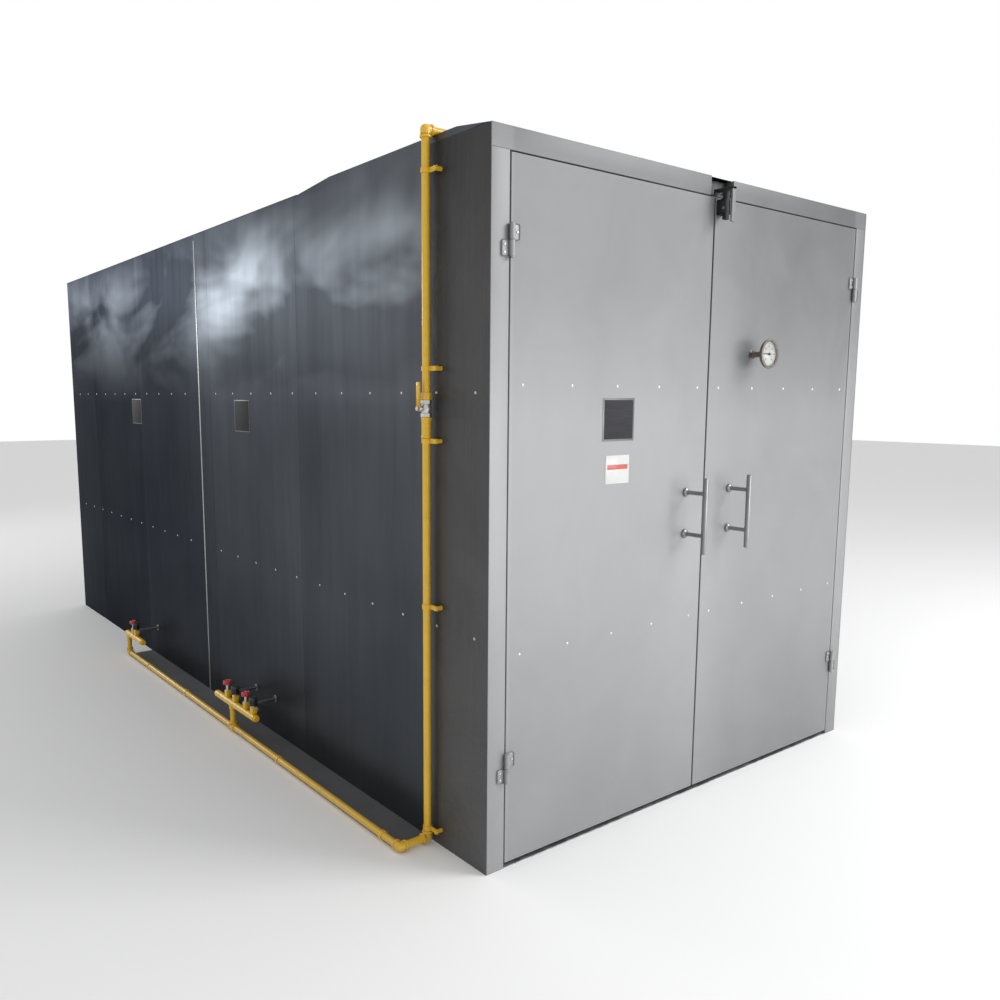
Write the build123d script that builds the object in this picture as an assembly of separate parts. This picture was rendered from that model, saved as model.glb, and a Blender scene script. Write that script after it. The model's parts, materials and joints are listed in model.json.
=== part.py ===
from build123d import *
import math
import os

os.makedirs("parts", exist_ok=True)

# All sizes in millimetres. The origin is on the floor at the middle of the oven body.
# X runs across the doors, +Y runs from the doors to the rear wall, +Z is up.

# Oven body
body_width = 2160.0
body_length = 4880.0
body_height = 2400.0
wall = 75.0
sheet = 1.5
floor_sheet = 4.0
collar_length = 320.0
front_module_length = 2390.0
side_sheet_width = 960.0
sheet_gap = 1.0
joint_strip_width = 14.0
trim_lip = 28.0
trim_sheet = 1.5

# Door frame
lintel_reveal = 5.0
frame_tube_wall = 3.0
stop_size = 30.0
pocket_left = 26.0
pocket_right = 108.0
pocket_depth = 35.0
pocket_drop = 5.0

# Doors
door_side_gap = 5.0
door_top_gap = 5.0
door_floor_gap = 20.0
door_seam_gap = 8.0
gasket_width = 16.0
gasket_thickness = 10.0
gasket_inset = 2.0
gasket_clearance = 0.3
meeting_gasket_thickness = 3.0

# Hinges
hinge_low_bottom = 310.0
hinge_top_drop = 310.0
hinge_height = 100.0
hinge_knuckle_gap = 1.0
hinge_barrel_radius = 9.0
hinge_pin_radius = 5.0
hinge_leaf_width = 36.0
hinge_leaf_thickness = 3.0
hinge_face_gap = 1.5
running_clearance = 0.05

# Pull handles
handle_offset_left = 110.0
handle_offset_right = 160.0
handle_bottom = 1000.0
handle_length = 290.0
handle_standoff_heights = (1070.0, 1230.0)
handle_grip_radius = 10.0
handle_standoff_radius = 8.0
handle_reach = 93.0
handle_foot_radius = 17.0
handle_foot_thickness = 10.0

# Dial thermometer in the right door
thermometer_offset = 274.0
thermometer_height = 1758.0
thermometer_radius = 57.0
thermometer_rim = 9.5
thermometer_depth = 15.0
thermometer_reach = 84.0
thermometer_stem_radius = 6.0
thermometer_neck_radius = 12.0
thermometer_insertion = 50.0
thermometer_lens_thickness = 2.0
needle_length = 40.0
needle_thickness = 1.2
needle_arbor_radius = 2.0

# Latch over the door seam
latch_offset = 10.0
latch_width = 22.0
latch_cheek = 3.0
latch_cheek_gap = 1.0
latch_bracket_drop = 63.0
latch_bracket_height = 55.0
latch_pivot_reach = 30.0
latch_pivot_drop = 40.0
latch_arm_drop = 81.0
latch_pin_radius = 4.0
latch_arm_thickness = 16.0
latch_rise = 28.0
latch_arch_thickness = 10.0
latch_plate_reach = 65.0
latch_plate_thickness = 7.0
latch_plate_drop = 93.0
latch_tooth_depth = 9.0
latch_tooth_thickness = 7.0
latch_tooth_reach = 20.0
keeper_thickness = 5.0
keeper_clearance = 2.0
keeper_height = 6.0

# Rivets
rivet_radius = 5.0
rivet_head = 2.0
rail_heights = (800.0, 1600.0)
rivet_pitch = 210.0
rivet_end = 70.0
door_rivet_heights = (740.0, 1625.0)
door_rivet_first = 60.0
door_rivet_pitch = 220.0
door_rivet_end = 40.0

# Gas pipework
pipe_radius = 13.5
pipe_bore = 10.8
fitting_radius = 17.0
fitting_reach = 26.0
riser_back = 300.0
riser_standoff = 28.0
floor_pipe_standoff = 147.0
floor_pipe_height = 23.0
roof_pipe_gap = 1.0
inlet_nipple_length = 60.0
inlet_socket_length = 40.0
tray_sheet = 3.0
tray_start = 330.0
clip_low_heights = (60.0, 870.0)
clip_below_valve = 108.0
clip_above_valve = 132.0
clip_top_drop = 90.0
clip_width = 16.0
clip_arm_length = 56.0
clip_thickness = 3.0
clip_clearance = 0.1
floor_clip_places = (410.0, 1250.0, 2350.0, 2950.0)
sheet_hole_clearance = 1.0

# Ball valve in the riser
valve_height = 1548.0
valve_length = 58.0
valve_body_radius = 19.0
valve_coupling_length = 70.0
valve_coupling_radius = 16.5
valve_nut_length = 24.0
valve_nut_radius = 19.0
valve_stem_radius = 5.0
valve_bonnet_radius = 10.0
valve_bonnet_reach = 30.0
lever_length = 88.0
lever_width = 15.0
lever_thickness = 4.0
lever_clearance = 0.5

# Burner stations beside the floor pipe
manifold_height = 140.0
front_station_riser = 1737.0
front_manifold = (1480.0, 1915.0)
front_knobs = (1580.0, 1790.0)
front_regulators = (1500.0, 1700.0)
rear_station_riser = 3310.0
rear_manifold = (3050.0, 3335.0)
rear_knobs = (3215.0,)
rear_regulators = (3165.0,)
burner_valve_size = 26.0
burner_valve_height = 34.0
burner_spindle_radius = 5.0
knob_radius = 21.5
knob_thickness = 20.0
knob_height = 230.0
regulator_radius = 20.0
regulator_height = 40.0
regulator_top = 236.0
feed_radius = 8.0
feed_bore = 6.0
feed_height = 174.0

# Burners inside the chamber
burner_radius = 25.0
burner_tube_wall = 2.5
burner_wall_gap = 55.0
burner_end_margin = 250.0
burner_port_radius = 2.0
burner_port_pitch = 60.0
guard_gap = 30.0
guard_height = 230.0
guard_sheet = 1.5

# Roof
roof_cap_height = 22.0
roof_cap_front = 12.0
roof_cap_rise = 160.0
roof_cap_end = 1250.0
roof_cap_fall = 270.0
roof_cap_edge = 12.0
fan_back = 1500.0
fan_plate_size = 420.0
fan_plate_thickness = 5.0
fan_motor_radius = 90.0
fan_motor_height = 210.0
fan_shaft_radius = 12.0
fan_shaft_bore_depth = 40.0
fan_hole_radius = 30.0
fan_wheel_radius = 210.0
fan_wheel_height = 90.0
fan_wheel_drop = 40.0
fan_blades = 10
flue_radius = 75.0
flue_wall = 2.0
flue_height = 150.0
flue_side = 500.0
flue_back = 3940.0

# Planes shared by several pieces
left_face = -body_width / 2
right_face = body_width / 2
front_face = -body_length / 2
rear_face = body_length / 2
inner_left = left_face + wall
inner_right = right_face - wall
collar_rear = front_face + collar_length
frame_rear = front_face + wall
module_joint = front_face + front_module_length
ceiling = body_height - wall
lintel_bottom = ceiling + lintel_reveal
door_top = lintel_bottom - door_top_gap
door_rear = front_face + wall
hinge_bottoms = (hinge_low_bottom, door_top - hinge_top_drop)
latch_bracket_bottom = door_top - latch_bracket_drop
latch_pivot_height = door_top - latch_pivot_drop
latch_plate_bottom = door_top - latch_plate_drop
latch_top = lintel_bottom + latch_rise
clip_heights = clip_low_heights + (valve_height - clip_below_valve, valve_height + clip_above_valve,
                                   body_height - clip_top_drop)
hinge_x = inner_right - door_side_gap / 2
hinge_y = front_face - hinge_face_gap - hinge_barrel_radius
riser_x = left_face - riser_standoff
riser_y = front_face + riser_back
floor_pipe_x = left_face - floor_pipe_standoff
roof_pipe_z = body_height + roof_cap_height + roof_pipe_gap + pipe_radius
fan_y = front_face + fan_back
flue_y = front_face + flue_back
burner_x = inner_left + burner_wall_gap + burner_radius
guard_x = burner_x + burner_radius + guard_gap
feed_places = [front_face + place for place in front_knobs + rear_knobs]

nodes = {}


def block(x0, x1, y0, y1, z0, z1):
    """A box between two corners."""
    centre = Pos((x0 + x1) / 2, (y0 + y1) / 2, (z0 + z1) / 2)
    return centre * Box(x1 - x0, y1 - y0, z1 - z0)


def turn(axis):
    """The turn that lays a Z-axis cylinder along the named axis."""
    return {"X": Rot(0, 90, 0), "Y": Rot(-90, 0, 0), "Z": Rot(0, 0, 0)}[axis]


def rod(axis, x, y, z, start, end, radius, bore=0.0):
    """A round bar along an axis from start to end; x, y, z give its line."""
    middle = (start + end) / 2
    place = {"X": (middle, y, z), "Y": (x, middle, z), "Z": (x, y, middle)}[axis]
    shape = Cylinder(radius, abs(end - start))
    if bore:
        shape -= Cylinder(bore, abs(end - start) + 1)
    return Pos(*place) * turn(axis) * shape


def node(name, *solids):
    """Keep one node: a single solid, or a group of separate solids."""
    nodes[name] = solids[0] if len(solids) == 1 else Compound(children=list(solids))


def rivet(direction):
    """A low pop-rivet head standing on the origin plane, pointing along direction."""
    head = Pos(0, 0, rivet_head / 2) * Cone(rivet_radius, rivet_radius * 0.55, rivet_head)
    turns = {"-X": Rot(0, -90, 0), "+X": Rot(0, 90, 0), "-Y": Rot(90, 0, 0), "+Y": Rot(-90, 0, 0)}
    return turns[direction] * head


def screw(x, y, z):
    """A pan-head screw on a hinge leaf, its head pointing out of the doors."""
    head = Pos(x, y, z) * Rot(90, 0, 0) * Pos(0, 0, 1.5) * Cylinder(4.0, 3.0)
    slot = block(x - 4.5, x + 4.5, y - 3.2, y - 2.0, z - 0.6, z + 0.6)
    return head - slot


def sheet_runs(start, end):
    """Sheets of the standard width laid from start, the last one cut to fit."""
    runs = []
    while end - start > side_sheet_width:
        runs.append((start, start + side_sheet_width - sheet_gap))
        start += side_sheet_width
    runs.append((start, end))
    return runs


def hole_for_feeds(shape):
    """Clear the burner feed pipes where they cross the left wall."""
    for place in feed_places:
        shape -= rod("X", 0, place, feed_height, left_face - 5, inner_left + 5,
                     feed_radius + sheet_hole_clearance)
    return shape


# ---- Shell of the oven ----

def build_walls():
    """Sheet-metal skins with mineral wool between them."""
    node("floor_plate", block(inner_left, inner_right, front_face, rear_face - wall, 0, floor_sheet))

    outer_left = left_face + sheet
    outer_right = right_face - sheet
    wool_left = inner_left - sheet
    wool_right = inner_right + sheet
    wool_top = body_height - sheet
    wool_rear = rear_face - sheet
    left_wool = block(outer_left, wool_left, frame_rear, wool_rear, 0, wool_top)
    left_wool = hole_for_feeds(left_wool)
    right_wool = block(wool_right, outer_right, frame_rear, wool_rear, 0, wool_top)
    rear_wool = block(wool_left, wool_right, rear_face - wall + sheet, wool_rear, 0, wool_top)
    node("wall_insulation", left_wool, right_wool, rear_wool)

    fan_hole = rod("Z", 0, fan_y, 0, ceiling - 5, body_height + 5, fan_hole_radius)
    flue_hole = rod("Z", flue_side, flue_y, 0, ceiling - 5, body_height + 5, flue_radius + 0.3)
    roof_wool_rear = rear_face - wall + sheet
    roof_front = block(wool_left, wool_right, frame_rear, module_joint, ceiling + sheet, wool_top)
    roof_rear = block(wool_left, wool_right, module_joint, roof_wool_rear, ceiling + sheet, wool_top)
    node("roof_insulation", roof_front - fan_hole, roof_rear - flue_hole)

    left_inner = hole_for_feeds(
        block(wool_left, inner_left, frame_rear, rear_face - wall, floor_sheet, ceiling + sheet))
    right_inner = block(inner_right, wool_right, frame_rear, rear_face - wall, floor_sheet, ceiling + sheet)
    rear_inner = block(wool_left, wool_right, rear_face - wall, rear_face - wall + sheet, floor_sheet,
                       ceiling + sheet)
    ceiling_plate = block(inner_left, inner_right, frame_rear, rear_face - wall, ceiling, ceiling + sheet)
    ceiling_plate -= fan_hole + flue_hole
    node("inner_sheets", left_inner, right_inner, rear_inner, ceiling_plate)

    runs = sheet_runs(collar_rear, module_joint) + sheet_runs(module_joint, wool_rear)
    left_sheets = [hole_for_feeds(block(left_face, outer_left, y0, y1, 0, wool_top)) for y0, y1 in runs]
    right_sheets = [block(outer_right, right_face, y0, y1, 0, wool_top) for y0, y1 in runs]
    node("left_wall_sheets", *left_sheets)
    node("right_wall_sheets", *right_sheets)

    rear_runs = sheet_runs(left_face, right_face)
    node("rear_wall_sheets", *[block(x0, x1, wool_rear, rear_face, 0, wool_top) for x0, x1 in rear_runs])

    roof_runs = sheet_runs(collar_rear, module_joint) + sheet_runs(module_joint, rear_face)
    roof = [block(left_face, right_face, y0, y1, wool_top, body_height) for y0, y1 in roof_runs]
    node("roof_sheets", *[plate - fan_hole - flue_hole for plate in roof])

    collar_left = block(left_face, outer_left, front_face, collar_rear - sheet_gap, 0, wool_top)
    collar_right = block(outer_right, right_face, front_face, collar_rear - sheet_gap, 0, wool_top)
    collar_top = block(left_face, right_face, frame_rear, collar_rear - sheet_gap, wool_top, body_height)
    node("collar_sheets", collar_left, collar_right, collar_top)


def edge_angle(side, y0, y1):
    """The folded angle that caps the long top edge of one side wall."""
    face = side * body_width / 2
    lip_x = sorted((face, face + side * trim_sheet))
    top_x = sorted((face + side * trim_sheet, face - side * trim_lip))
    lip = block(lip_x[0], lip_x[1], y0, y1, body_height - trim_lip, body_height + trim_sheet)
    cap = block(top_x[0], top_x[1], y0, y1, body_height, body_height + trim_sheet)
    return lip + cap


def build_trims():
    """Cover strips on the module joint and angles along the roof edges."""
    half = joint_strip_width / 2
    y0 = module_joint - half
    y1 = module_joint + half
    strip_top = body_height - trim_lip
    left_strip = block(left_face - trim_sheet, left_face, y0, y1, tray_sheet, strip_top)
    right_strip = block(right_face, right_face + trim_sheet, y0, y1, 0, strip_top)
    roof_strip = block(left_face + trim_lip, right_face - trim_lip, y0, y1, body_height,
                       body_height + trim_sheet)
    rear_trim = block(left_face + trim_lip, right_face - trim_lip, rear_face, rear_face + trim_sheet,
                      body_height - trim_lip, body_height)
    cap_rear = front_face + roof_cap_end
    left_angle = edge_angle(-1, cap_rear, rear_face)
    right_angle = edge_angle(1, cap_rear, rear_face)
    node("edge_trims", left_strip, right_strip, roof_strip, left_angle, right_angle, rear_trim)


def build_roof_cap():
    """The low cambered cover over the front of the roof."""
    y0 = front_face + roof_cap_front
    y1 = y0 + roof_cap_rise
    y3 = front_face + roof_cap_end
    y2 = y3 - roof_cap_fall
    top = body_height + roof_cap_height
    outer = Polyline((y0, body_height), (y1, top), (y2, top), (y3, body_height), close=True)
    inner = Polyline((y0 + roof_cap_edge, body_height), (y1, top - sheet), (y2, top - sheet),
                     (y3 - roof_cap_edge, body_height), close=True)
    cover = extrude(Plane.YZ.offset(left_face) * make_face(outer), body_width)
    hollow = extrude(Plane.YZ.offset(left_face + sheet) * make_face(inner), body_width - 2 * sheet)
    node("roof_cap", cover - hollow)


# ---- Door frame ----

def build_frame():
    """Two posts, a lintel in two lengths, and the latch pocket with its keeper bar."""
    posts = []
    for x0, x1 in ((left_face + sheet, inner_left), (inner_right, right_face - sheet)):
        outer = block(x0, x1, front_face, frame_rear, 0, lintel_bottom)
        hollow = block(x0 + frame_tube_wall, x1 - frame_tube_wall, front_face + frame_tube_wall,
                       frame_rear - frame_tube_wall, frame_tube_wall, lintel_bottom - frame_tube_wall)
        posts.append(outer - hollow)
    node("door_posts", *posts)

    lengths = []
    for x0, x1 in ((left_face + sheet, -pocket_left), (pocket_right, right_face - sheet)):
        outer = block(x0, x1, front_face, frame_rear, lintel_bottom, body_height)
        hollow = block(x0 + frame_tube_wall, x1 - frame_tube_wall, front_face + frame_tube_wall,
                       frame_rear - frame_tube_wall, lintel_bottom + frame_tube_wall,
                       body_height - frame_tube_wall)
        lengths.append(outer - hollow)
    node("lintel", *lengths)

    pocket_rear = front_face + pocket_depth
    back = block(-pocket_left, pocket_right, pocket_rear, frame_rear, lintel_bottom, body_height - pocket_drop)
    keeper_top = latch_top - latch_arch_thickness - latch_tooth_depth - keeper_clearance
    keeper_y = front_face + latch_tooth_reach - latch_tooth_thickness - keeper_clearance - keeper_thickness
    bar = block(-pocket_left, pocket_right, keeper_y, keeper_y + keeper_thickness,
                keeper_top - keeper_height, keeper_top)
    node("latch_pocket", back, bar)

    stop_front = door_rear + gasket_thickness + gasket_clearance
    stop_rear = stop_front + stop_size
    left_stop = block(inner_left, inner_left + stop_size, stop_front, stop_rear, floor_sheet, ceiling)
    right_stop = block(inner_right - stop_size, inner_right, stop_front, stop_rear, floor_sheet, ceiling)
    top_stop = block(inner_left + stop_size, inner_right - stop_size, stop_front, stop_rear,
                     ceiling - stop_size, ceiling)
    node("door_stop_bars", left_stop, right_stop, top_stop)


# ---- Doors ----

def build_door(side, name):
    """One insulated door leaf; side is -1 for the left leaf and +1 for the right."""
    hinge_edge = side * (inner_right - door_side_gap)
    seam_edge = side * door_seam_gap / 2
    x0, x1 = sorted((hinge_edge, seam_edge))
    z0 = door_floor_gap
    z1 = door_top
    pan = block(x0, x1, front_face, door_rear, z0, z1)
    front_edges = pan.edges().filter_by(Axis.Z).group_by(Axis.Y)[0]
    pan = fillet(front_edges, 2.5)
    core = block(x0 + sheet, x1 - sheet, front_face + sheet, door_rear - sheet, z0 + sheet, z1 - sheet)
    back = block(x0 + sheet, x1 - sheet, door_rear - sheet, door_rear, z0 + sheet, z1 - sheet)
    pan -= core + back
    if side > 0:
        well = rod("Y", thermometer_offset, 0, thermometer_height, front_face - 5, door_rear + 5,
                   thermometer_stem_radius + running_clearance)
        pan -= well
        core -= well
        back -= well
    node(name + "_door_pan", pan)
    node(name + "_door_core", core)
    node(name + "_door_inner_sheet", back)

    seal_outer = hinge_edge - side * gasket_inset
    seal_inner = seal_outer - side * gasket_width
    sx0, sx1 = sorted((seal_outer, seal_inner))
    tx0, tx1 = sorted((seal_inner, seam_edge + side * gasket_inset))
    rear = door_rear + gasket_thickness
    jamb_seal = block(sx0, sx1, door_rear, rear, z0 + gasket_inset, z1 - gasket_inset)
    head_seal = block(tx0, tx1, door_rear, rear, z1 - gasket_inset - gasket_width, z1 - gasket_inset)
    node(name + "_door_gasket", jamb_seal, head_seal)

    heads = []
    rivet_count = int((abs(hinge_edge - seam_edge) - door_rivet_first - door_rivet_end) / door_rivet_pitch) + 1
    for z in door_rivet_heights:
        for step in range(rivet_count):
            x = seam_edge + side * (door_rivet_first + step * door_rivet_pitch)
            heads.append(Pos(x, front_face, z) * rivet("-Y"))
    for bottom in hinge_bottoms:
        z_mid = bottom + hinge_height * 0.75
        for dz, dx in ((14, 14), (-14, 14), (0, 27)):
            heads.append(screw(side * (hinge_x - dx), front_face - hinge_leaf_thickness, z_mid + dz))
    node(name + "_door_fasteners", *heads)


def hinge_leaf(side, bottom, upper):
    """Half of a lift-off hinge: the upper half is on the door, the lower on the post."""
    half = (hinge_height - hinge_knuckle_gap) / 2
    z0 = bottom + half + hinge_knuckle_gap if upper else bottom
    z1 = z0 + half
    bore = hinge_pin_radius + running_clearance
    inward = -side if upper else side
    near = side * hinge_x + inward * 1.5
    far = side * hinge_x + inward * hinge_leaf_width
    x0, x1 = sorted((near, far))
    plate = block(x0, x1, front_face - hinge_leaf_thickness, front_face, z0, z1)
    barrel = rod("Z", side * hinge_x, hinge_y, 0, z0, z1, hinge_barrel_radius)
    return plate + barrel - rod("Z", side * hinge_x, hinge_y, 0, z0 - 1, z1 + 1, bore)


def build_hinges():
    """Four lift-off hinges with their pins."""
    node("left_hinge_door_leaves", *[hinge_leaf(-1, bottom, True) for bottom in hinge_bottoms])
    node("right_hinge_door_leaves", *[hinge_leaf(1, bottom, True) for bottom in hinge_bottoms])
    frame_leaves = []
    pins = []
    for side in (-1, 1):
        for bottom in hinge_bottoms:
            frame_leaves.append(hinge_leaf(side, bottom, False))
            pins.append(rod("Z", side * hinge_x, hinge_y, 0, bottom, bottom + hinge_height - 3,
                            hinge_pin_radius))
    node("hinge_frame_leaves", *frame_leaves)
    node("hinge_pins", *pins)


def build_handle(x, name):
    """A round pull bar on two turned standoffs with thick feet."""
    grip_y = front_face - handle_reach
    grip = rod("Z", x, grip_y, 0, handle_bottom, handle_bottom + handle_length, handle_grip_radius)
    grip = fillet(grip.edges(), 1.5)
    pieces = [grip]
    for z in handle_standoff_heights:
        post = rod("Y", x, 0, z, grip_y, front_face - handle_foot_thickness, handle_standoff_radius)
        foot = rod("Y", x, 0, z, front_face - handle_foot_thickness, front_face, handle_foot_radius)
        pieces.append((post + foot) - rod("Z", x, grip_y, 0, z - 30, z + 30, handle_grip_radius))
    node(name + "_handle", *pieces)


# ---- Thermometer ----

def build_thermometer():
    """A bimetal dial thermometer whose stem passes through the right door."""
    x = thermometer_offset
    z = thermometer_height
    dial_front = front_face - thermometer_reach
    case_back = dial_front + thermometer_depth
    floor_y = case_back - 4.0
    inner = thermometer_radius - thermometer_rim
    case = rod("Y", x, 0, z, dial_front, case_back, thermometer_radius)
    case = fillet(case.edges(), 1.8)
    case -= rod("Y", x, 0, z, dial_front - 1, floor_y, inner)
    arbor_bore = needle_arbor_radius + running_clearance
    case -= rod("Y", x, 0, z, floor_y - 1, case_back - 1, arbor_bore)
    dial = rod("Y", x, 0, z, floor_y - 2.0, floor_y, inner - running_clearance, arbor_bore)
    lens_back = dial_front + 1.0 + thermometer_lens_thickness
    lens = rod("Y", x, 0, z, dial_front + 1.0, lens_back, inner - running_clearance)
    node("thermometer_case", case)
    node("thermometer_dial", dial)
    node("thermometer_lens", lens)

    hub_front = floor_y - 6.5
    hub = rod("Y", x, 0, z, hub_front, floor_y - 3.0, 5.0)
    arbor = rod("Y", x, 0, z, hub_front, case_back - 1.5, needle_arbor_radius)
    pointer = Polyline((x + 10, z - 2.4), (x + 10, z + 2.4), (x - needle_length, z + 0.5),
                       (x - needle_length, z - 0.5), close=True)
    blade = extrude(Plane.XZ * make_face(pointer), needle_thickness)
    blade = Pos(0, floor_y - 5.0, 0) * blade
    node("thermometer_needle", hub + arbor + blade)

    neck = rod("Y", x, 0, z, case_back, front_face - 12.0, thermometer_neck_radius)
    gland = Pos(x, front_face - 6.0, z) * Rot(90, 0, 0) * extrude(RegularPolygon(15.0, 6), 6, both=True)
    probe = rod("Y", x, 0, z, front_face - 12.0, door_rear + thermometer_insertion,
                thermometer_stem_radius)
    node("thermometer_stem", neck + gland + probe)


# ---- Latch ----

def build_latch():
    """A rocking hook on the right door that drops behind a bar in the lintel pocket."""
    x0 = latch_offset + latch_cheek + latch_cheek_gap
    x1 = x0 + latch_width
    pivot_y = front_face - latch_pivot_reach
    top = latch_top
    underside = top - latch_arch_thickness
    plate_y = front_face - latch_plate_reach
    tooth_y = front_face + latch_tooth_reach
    half_arm = latch_arm_thickness / 2
    arm = block(x0, x1, pivot_y - half_arm, pivot_y + half_arm, door_top - latch_arm_drop, top)
    arch = block(x0, x1, plate_y, tooth_y, underside, top)
    tooth = block(x0, x1, tooth_y - latch_tooth_thickness, tooth_y, underside - latch_tooth_depth, top)
    plate = block(x0, x1, plate_y, plate_y + latch_plate_thickness, latch_plate_bottom, top)
    hook = arm + arch + tooth + plate
    long_edges = [edge for edge in hook.edges().filter_by(Axis.X) if edge.center().Z > top - 1]
    hook = fillet(long_edges, min(5.0, latch_plate_thickness * 0.7))
    pin_bore = latch_pin_radius + running_clearance
    hook -= rod("X", 0, pivot_y, latch_pivot_height, x0 - 1, x1 + 1, pin_bore)
    node("latch_hook", hook)

    outer0 = latch_offset
    outer1 = x1 + latch_cheek_gap + latch_cheek
    bracket_top = latch_bracket_bottom + latch_bracket_height
    base_back = front_face
    base = block(outer0, outer1, base_back - latch_cheek, base_back, latch_bracket_bottom, bracket_top)
    cheek_front = pivot_y - half_arm - 2
    for cx in (outer0, outer1 - latch_cheek):
        base += block(cx, cx + latch_cheek, cheek_front, base_back, latch_bracket_bottom, bracket_top)
    base -= rod("X", 0, pivot_y, latch_pivot_height, outer0 - 1, outer1 + 1, pin_bore)
    node("latch_bracket", base)
    node("latch_pin", rod("X", 0, pivot_y, latch_pivot_height, outer0 - 3, outer1 + 3, latch_pin_radius))


# ---- Gas line ----

def elbow(x, y, z, first, second):
    """A threaded elbow; first and second are the signed axes that its sockets face."""
    body = Pos(x, y, z) * Sphere(fitting_radius)
    for direction in (first, second):
        body += socket(x, y, z, direction)
    return body


def socket(x, y, z, direction):
    """One socket of a fitting, from its middle out to its face."""
    sign = 1 if direction[0] == "+" else -1
    axis = direction[1]
    start = {"X": x, "Y": y, "Z": z}[axis]
    return rod(axis, x, y, z, start, start + sign * fitting_reach, fitting_radius)


def tee(x, y, z, directions):
    """A tee: one socket for each listed direction."""
    body = socket(x, y, z, directions[0])
    for direction in directions[1:]:
        body += socket(x, y, z, direction)
    return body


def pipe(axis, x, y, z, start, end):
    """A straight run of gas pipe."""
    return rod(axis, x, y, z, start, end, pipe_radius, pipe_bore)


def build_gas_line():
    """The riser, the roof run to the inlet, and the floor run to the burner stations."""
    valve_bottom = valve_height - valve_length / 2
    valve_top = valve_height + valve_length / 2
    coupling_bottom = valve_bottom - valve_coupling_length
    nut_top = valve_top + valve_nut_length
    low = floor_pipe_height
    front_y = front_face + front_station_riser
    rear_y = front_face + rear_station_riser
    riser_low = pipe("Z", riser_x, riser_y, 0, low + fitting_reach, coupling_bottom)
    riser_high = pipe("Z", riser_x, riser_y, 0, nut_top, roof_pipe_z - fitting_reach)
    roof_run = pipe("X", 0, riser_y, roof_pipe_z, riser_x + fitting_reach, right_face)
    nipple_start = right_face + inlet_socket_length
    nipple = pipe("X", 0, riser_y, roof_pipe_z, nipple_start, nipple_start + inlet_nipple_length)
    outward = pipe("X", 0, riser_y, low, floor_pipe_x + fitting_reach, riser_x - fitting_reach)
    floor_front = pipe("Y", floor_pipe_x, 0, low, riser_y + fitting_reach, front_y - fitting_reach)
    floor_rear = pipe("Y", floor_pipe_x, 0, low, front_y + fitting_reach, rear_y - fitting_reach)
    node("gas_pipes", riser_low, riser_high, roof_run, nipple, outward, floor_front, floor_rear)

    top_elbow = elbow(riser_x, riser_y, roof_pipe_z, "-Z", "+X")
    bottom_elbow = elbow(riser_x, riser_y, low, "+Z", "-X")
    corner_elbow = elbow(floor_pipe_x, riser_y, low, "+X", "+Y")
    front_tee = tee(floor_pipe_x, front_y, low, ("-Y", "+Y", "+Z"))
    rear_elbow = elbow(floor_pipe_x, rear_y, low, "-Y", "+Z")
    inlet_socket = rod("X", 0, riser_y, roof_pipe_z, right_face, nipple_start, fitting_radius, pipe_bore)
    coupling = rod("Z", riser_x, riser_y, 0, coupling_bottom, valve_bottom, valve_coupling_radius)
    nut = Pos(riser_x, riser_y, valve_top) * extrude(RegularPolygon(valve_nut_radius, 6), valve_nut_length)
    node("gas_fittings", top_elbow, bottom_elbow, corner_elbow, front_tee, rear_elbow, inlet_socket,
         coupling, nut)

    body = rod("Z", riser_x, riser_y, 0, valve_bottom, valve_top, valve_body_radius * 0.86)
    for z0 in (valve_bottom, valve_top - 14):
        body += Pos(riser_x, riser_y, z0) * extrude(RegularPolygon(valve_body_radius, 6), 14)
    body += Pos(riser_x, riser_y, valve_height) * Sphere(valve_body_radius)
    bonnet_end = riser_x - valve_bonnet_reach
    body += rod("X", 0, riser_y, valve_height, bonnet_end, riser_x, valve_bonnet_radius)
    stem_end = bonnet_end - lever_thickness - 6
    body += rod("X", 0, riser_y, valve_height, stem_end, bonnet_end, valve_stem_radius)
    node("ball_valve_body", body)
    lever_x = bonnet_end - lever_clearance
    lever = block(lever_x - lever_thickness, lever_x, riser_y - lever_width / 2, riser_y + lever_width / 2,
                  valve_height - lever_width / 2, valve_height + lever_length)
    lever = fillet(lever.edges().filter_by(Axis.X), 6.0)
    lever -= rod("X", 0, riser_y, valve_height, lever_x - 10, lever_x + 1,
                 valve_stem_radius + running_clearance)
    node("ball_valve_lever", lever)


def wall_clip(z):
    """A clip round the riser with an arm bolted to the collar wall."""
    inner = pipe_radius + clip_clearance
    ring = rod("Z", riser_x, riser_y, 0, z - clip_width / 2, z + clip_width / 2, inner + clip_thickness,
               inner)
    arm_end = riser_y - clip_arm_length
    arm_x = riser_x + 4
    arm = block(arm_x, arm_x + clip_thickness, arm_end, riser_y - inner - 1, z - clip_width / 2,
                z + clip_width / 2)
    foot = rod("X", 0, arm_end + 8, z, arm_x - 5, left_face, 7.5)
    return ring + arm + foot


def floor_clip(y):
    """A saddle round the floor pipe, standing on the tray."""
    inner = pipe_radius + clip_clearance
    half = clip_width / 2
    ring = rod("Y", floor_pipe_x, 0, floor_pipe_height, y - half, y + half, inner + clip_thickness, inner)
    tab = block(floor_pipe_x + inner + 1, floor_pipe_x + inner + 22, y - half, y + half, tray_sheet,
                tray_sheet + clip_thickness)
    web = block(floor_pipe_x + inner + 1, floor_pipe_x + inner + 1 + clip_thickness, y - half, y + half,
                tray_sheet, floor_pipe_height)
    return ring + web + tab


def build_supports():
    """Clips and the folded tray that carry the pipework."""
    tray_end = front_face + rear_station_riser + fitting_radius + 8
    tray = block(floor_pipe_x, left_face, front_face + tray_start, tray_end, 0, tray_sheet)
    node("pipe_tray", tray)
    clips = [wall_clip(z) for z in clip_heights]
    clips += [floor_clip(front_face + place) for place in floor_clip_places]
    node("pipe_clips", *clips)


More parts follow.
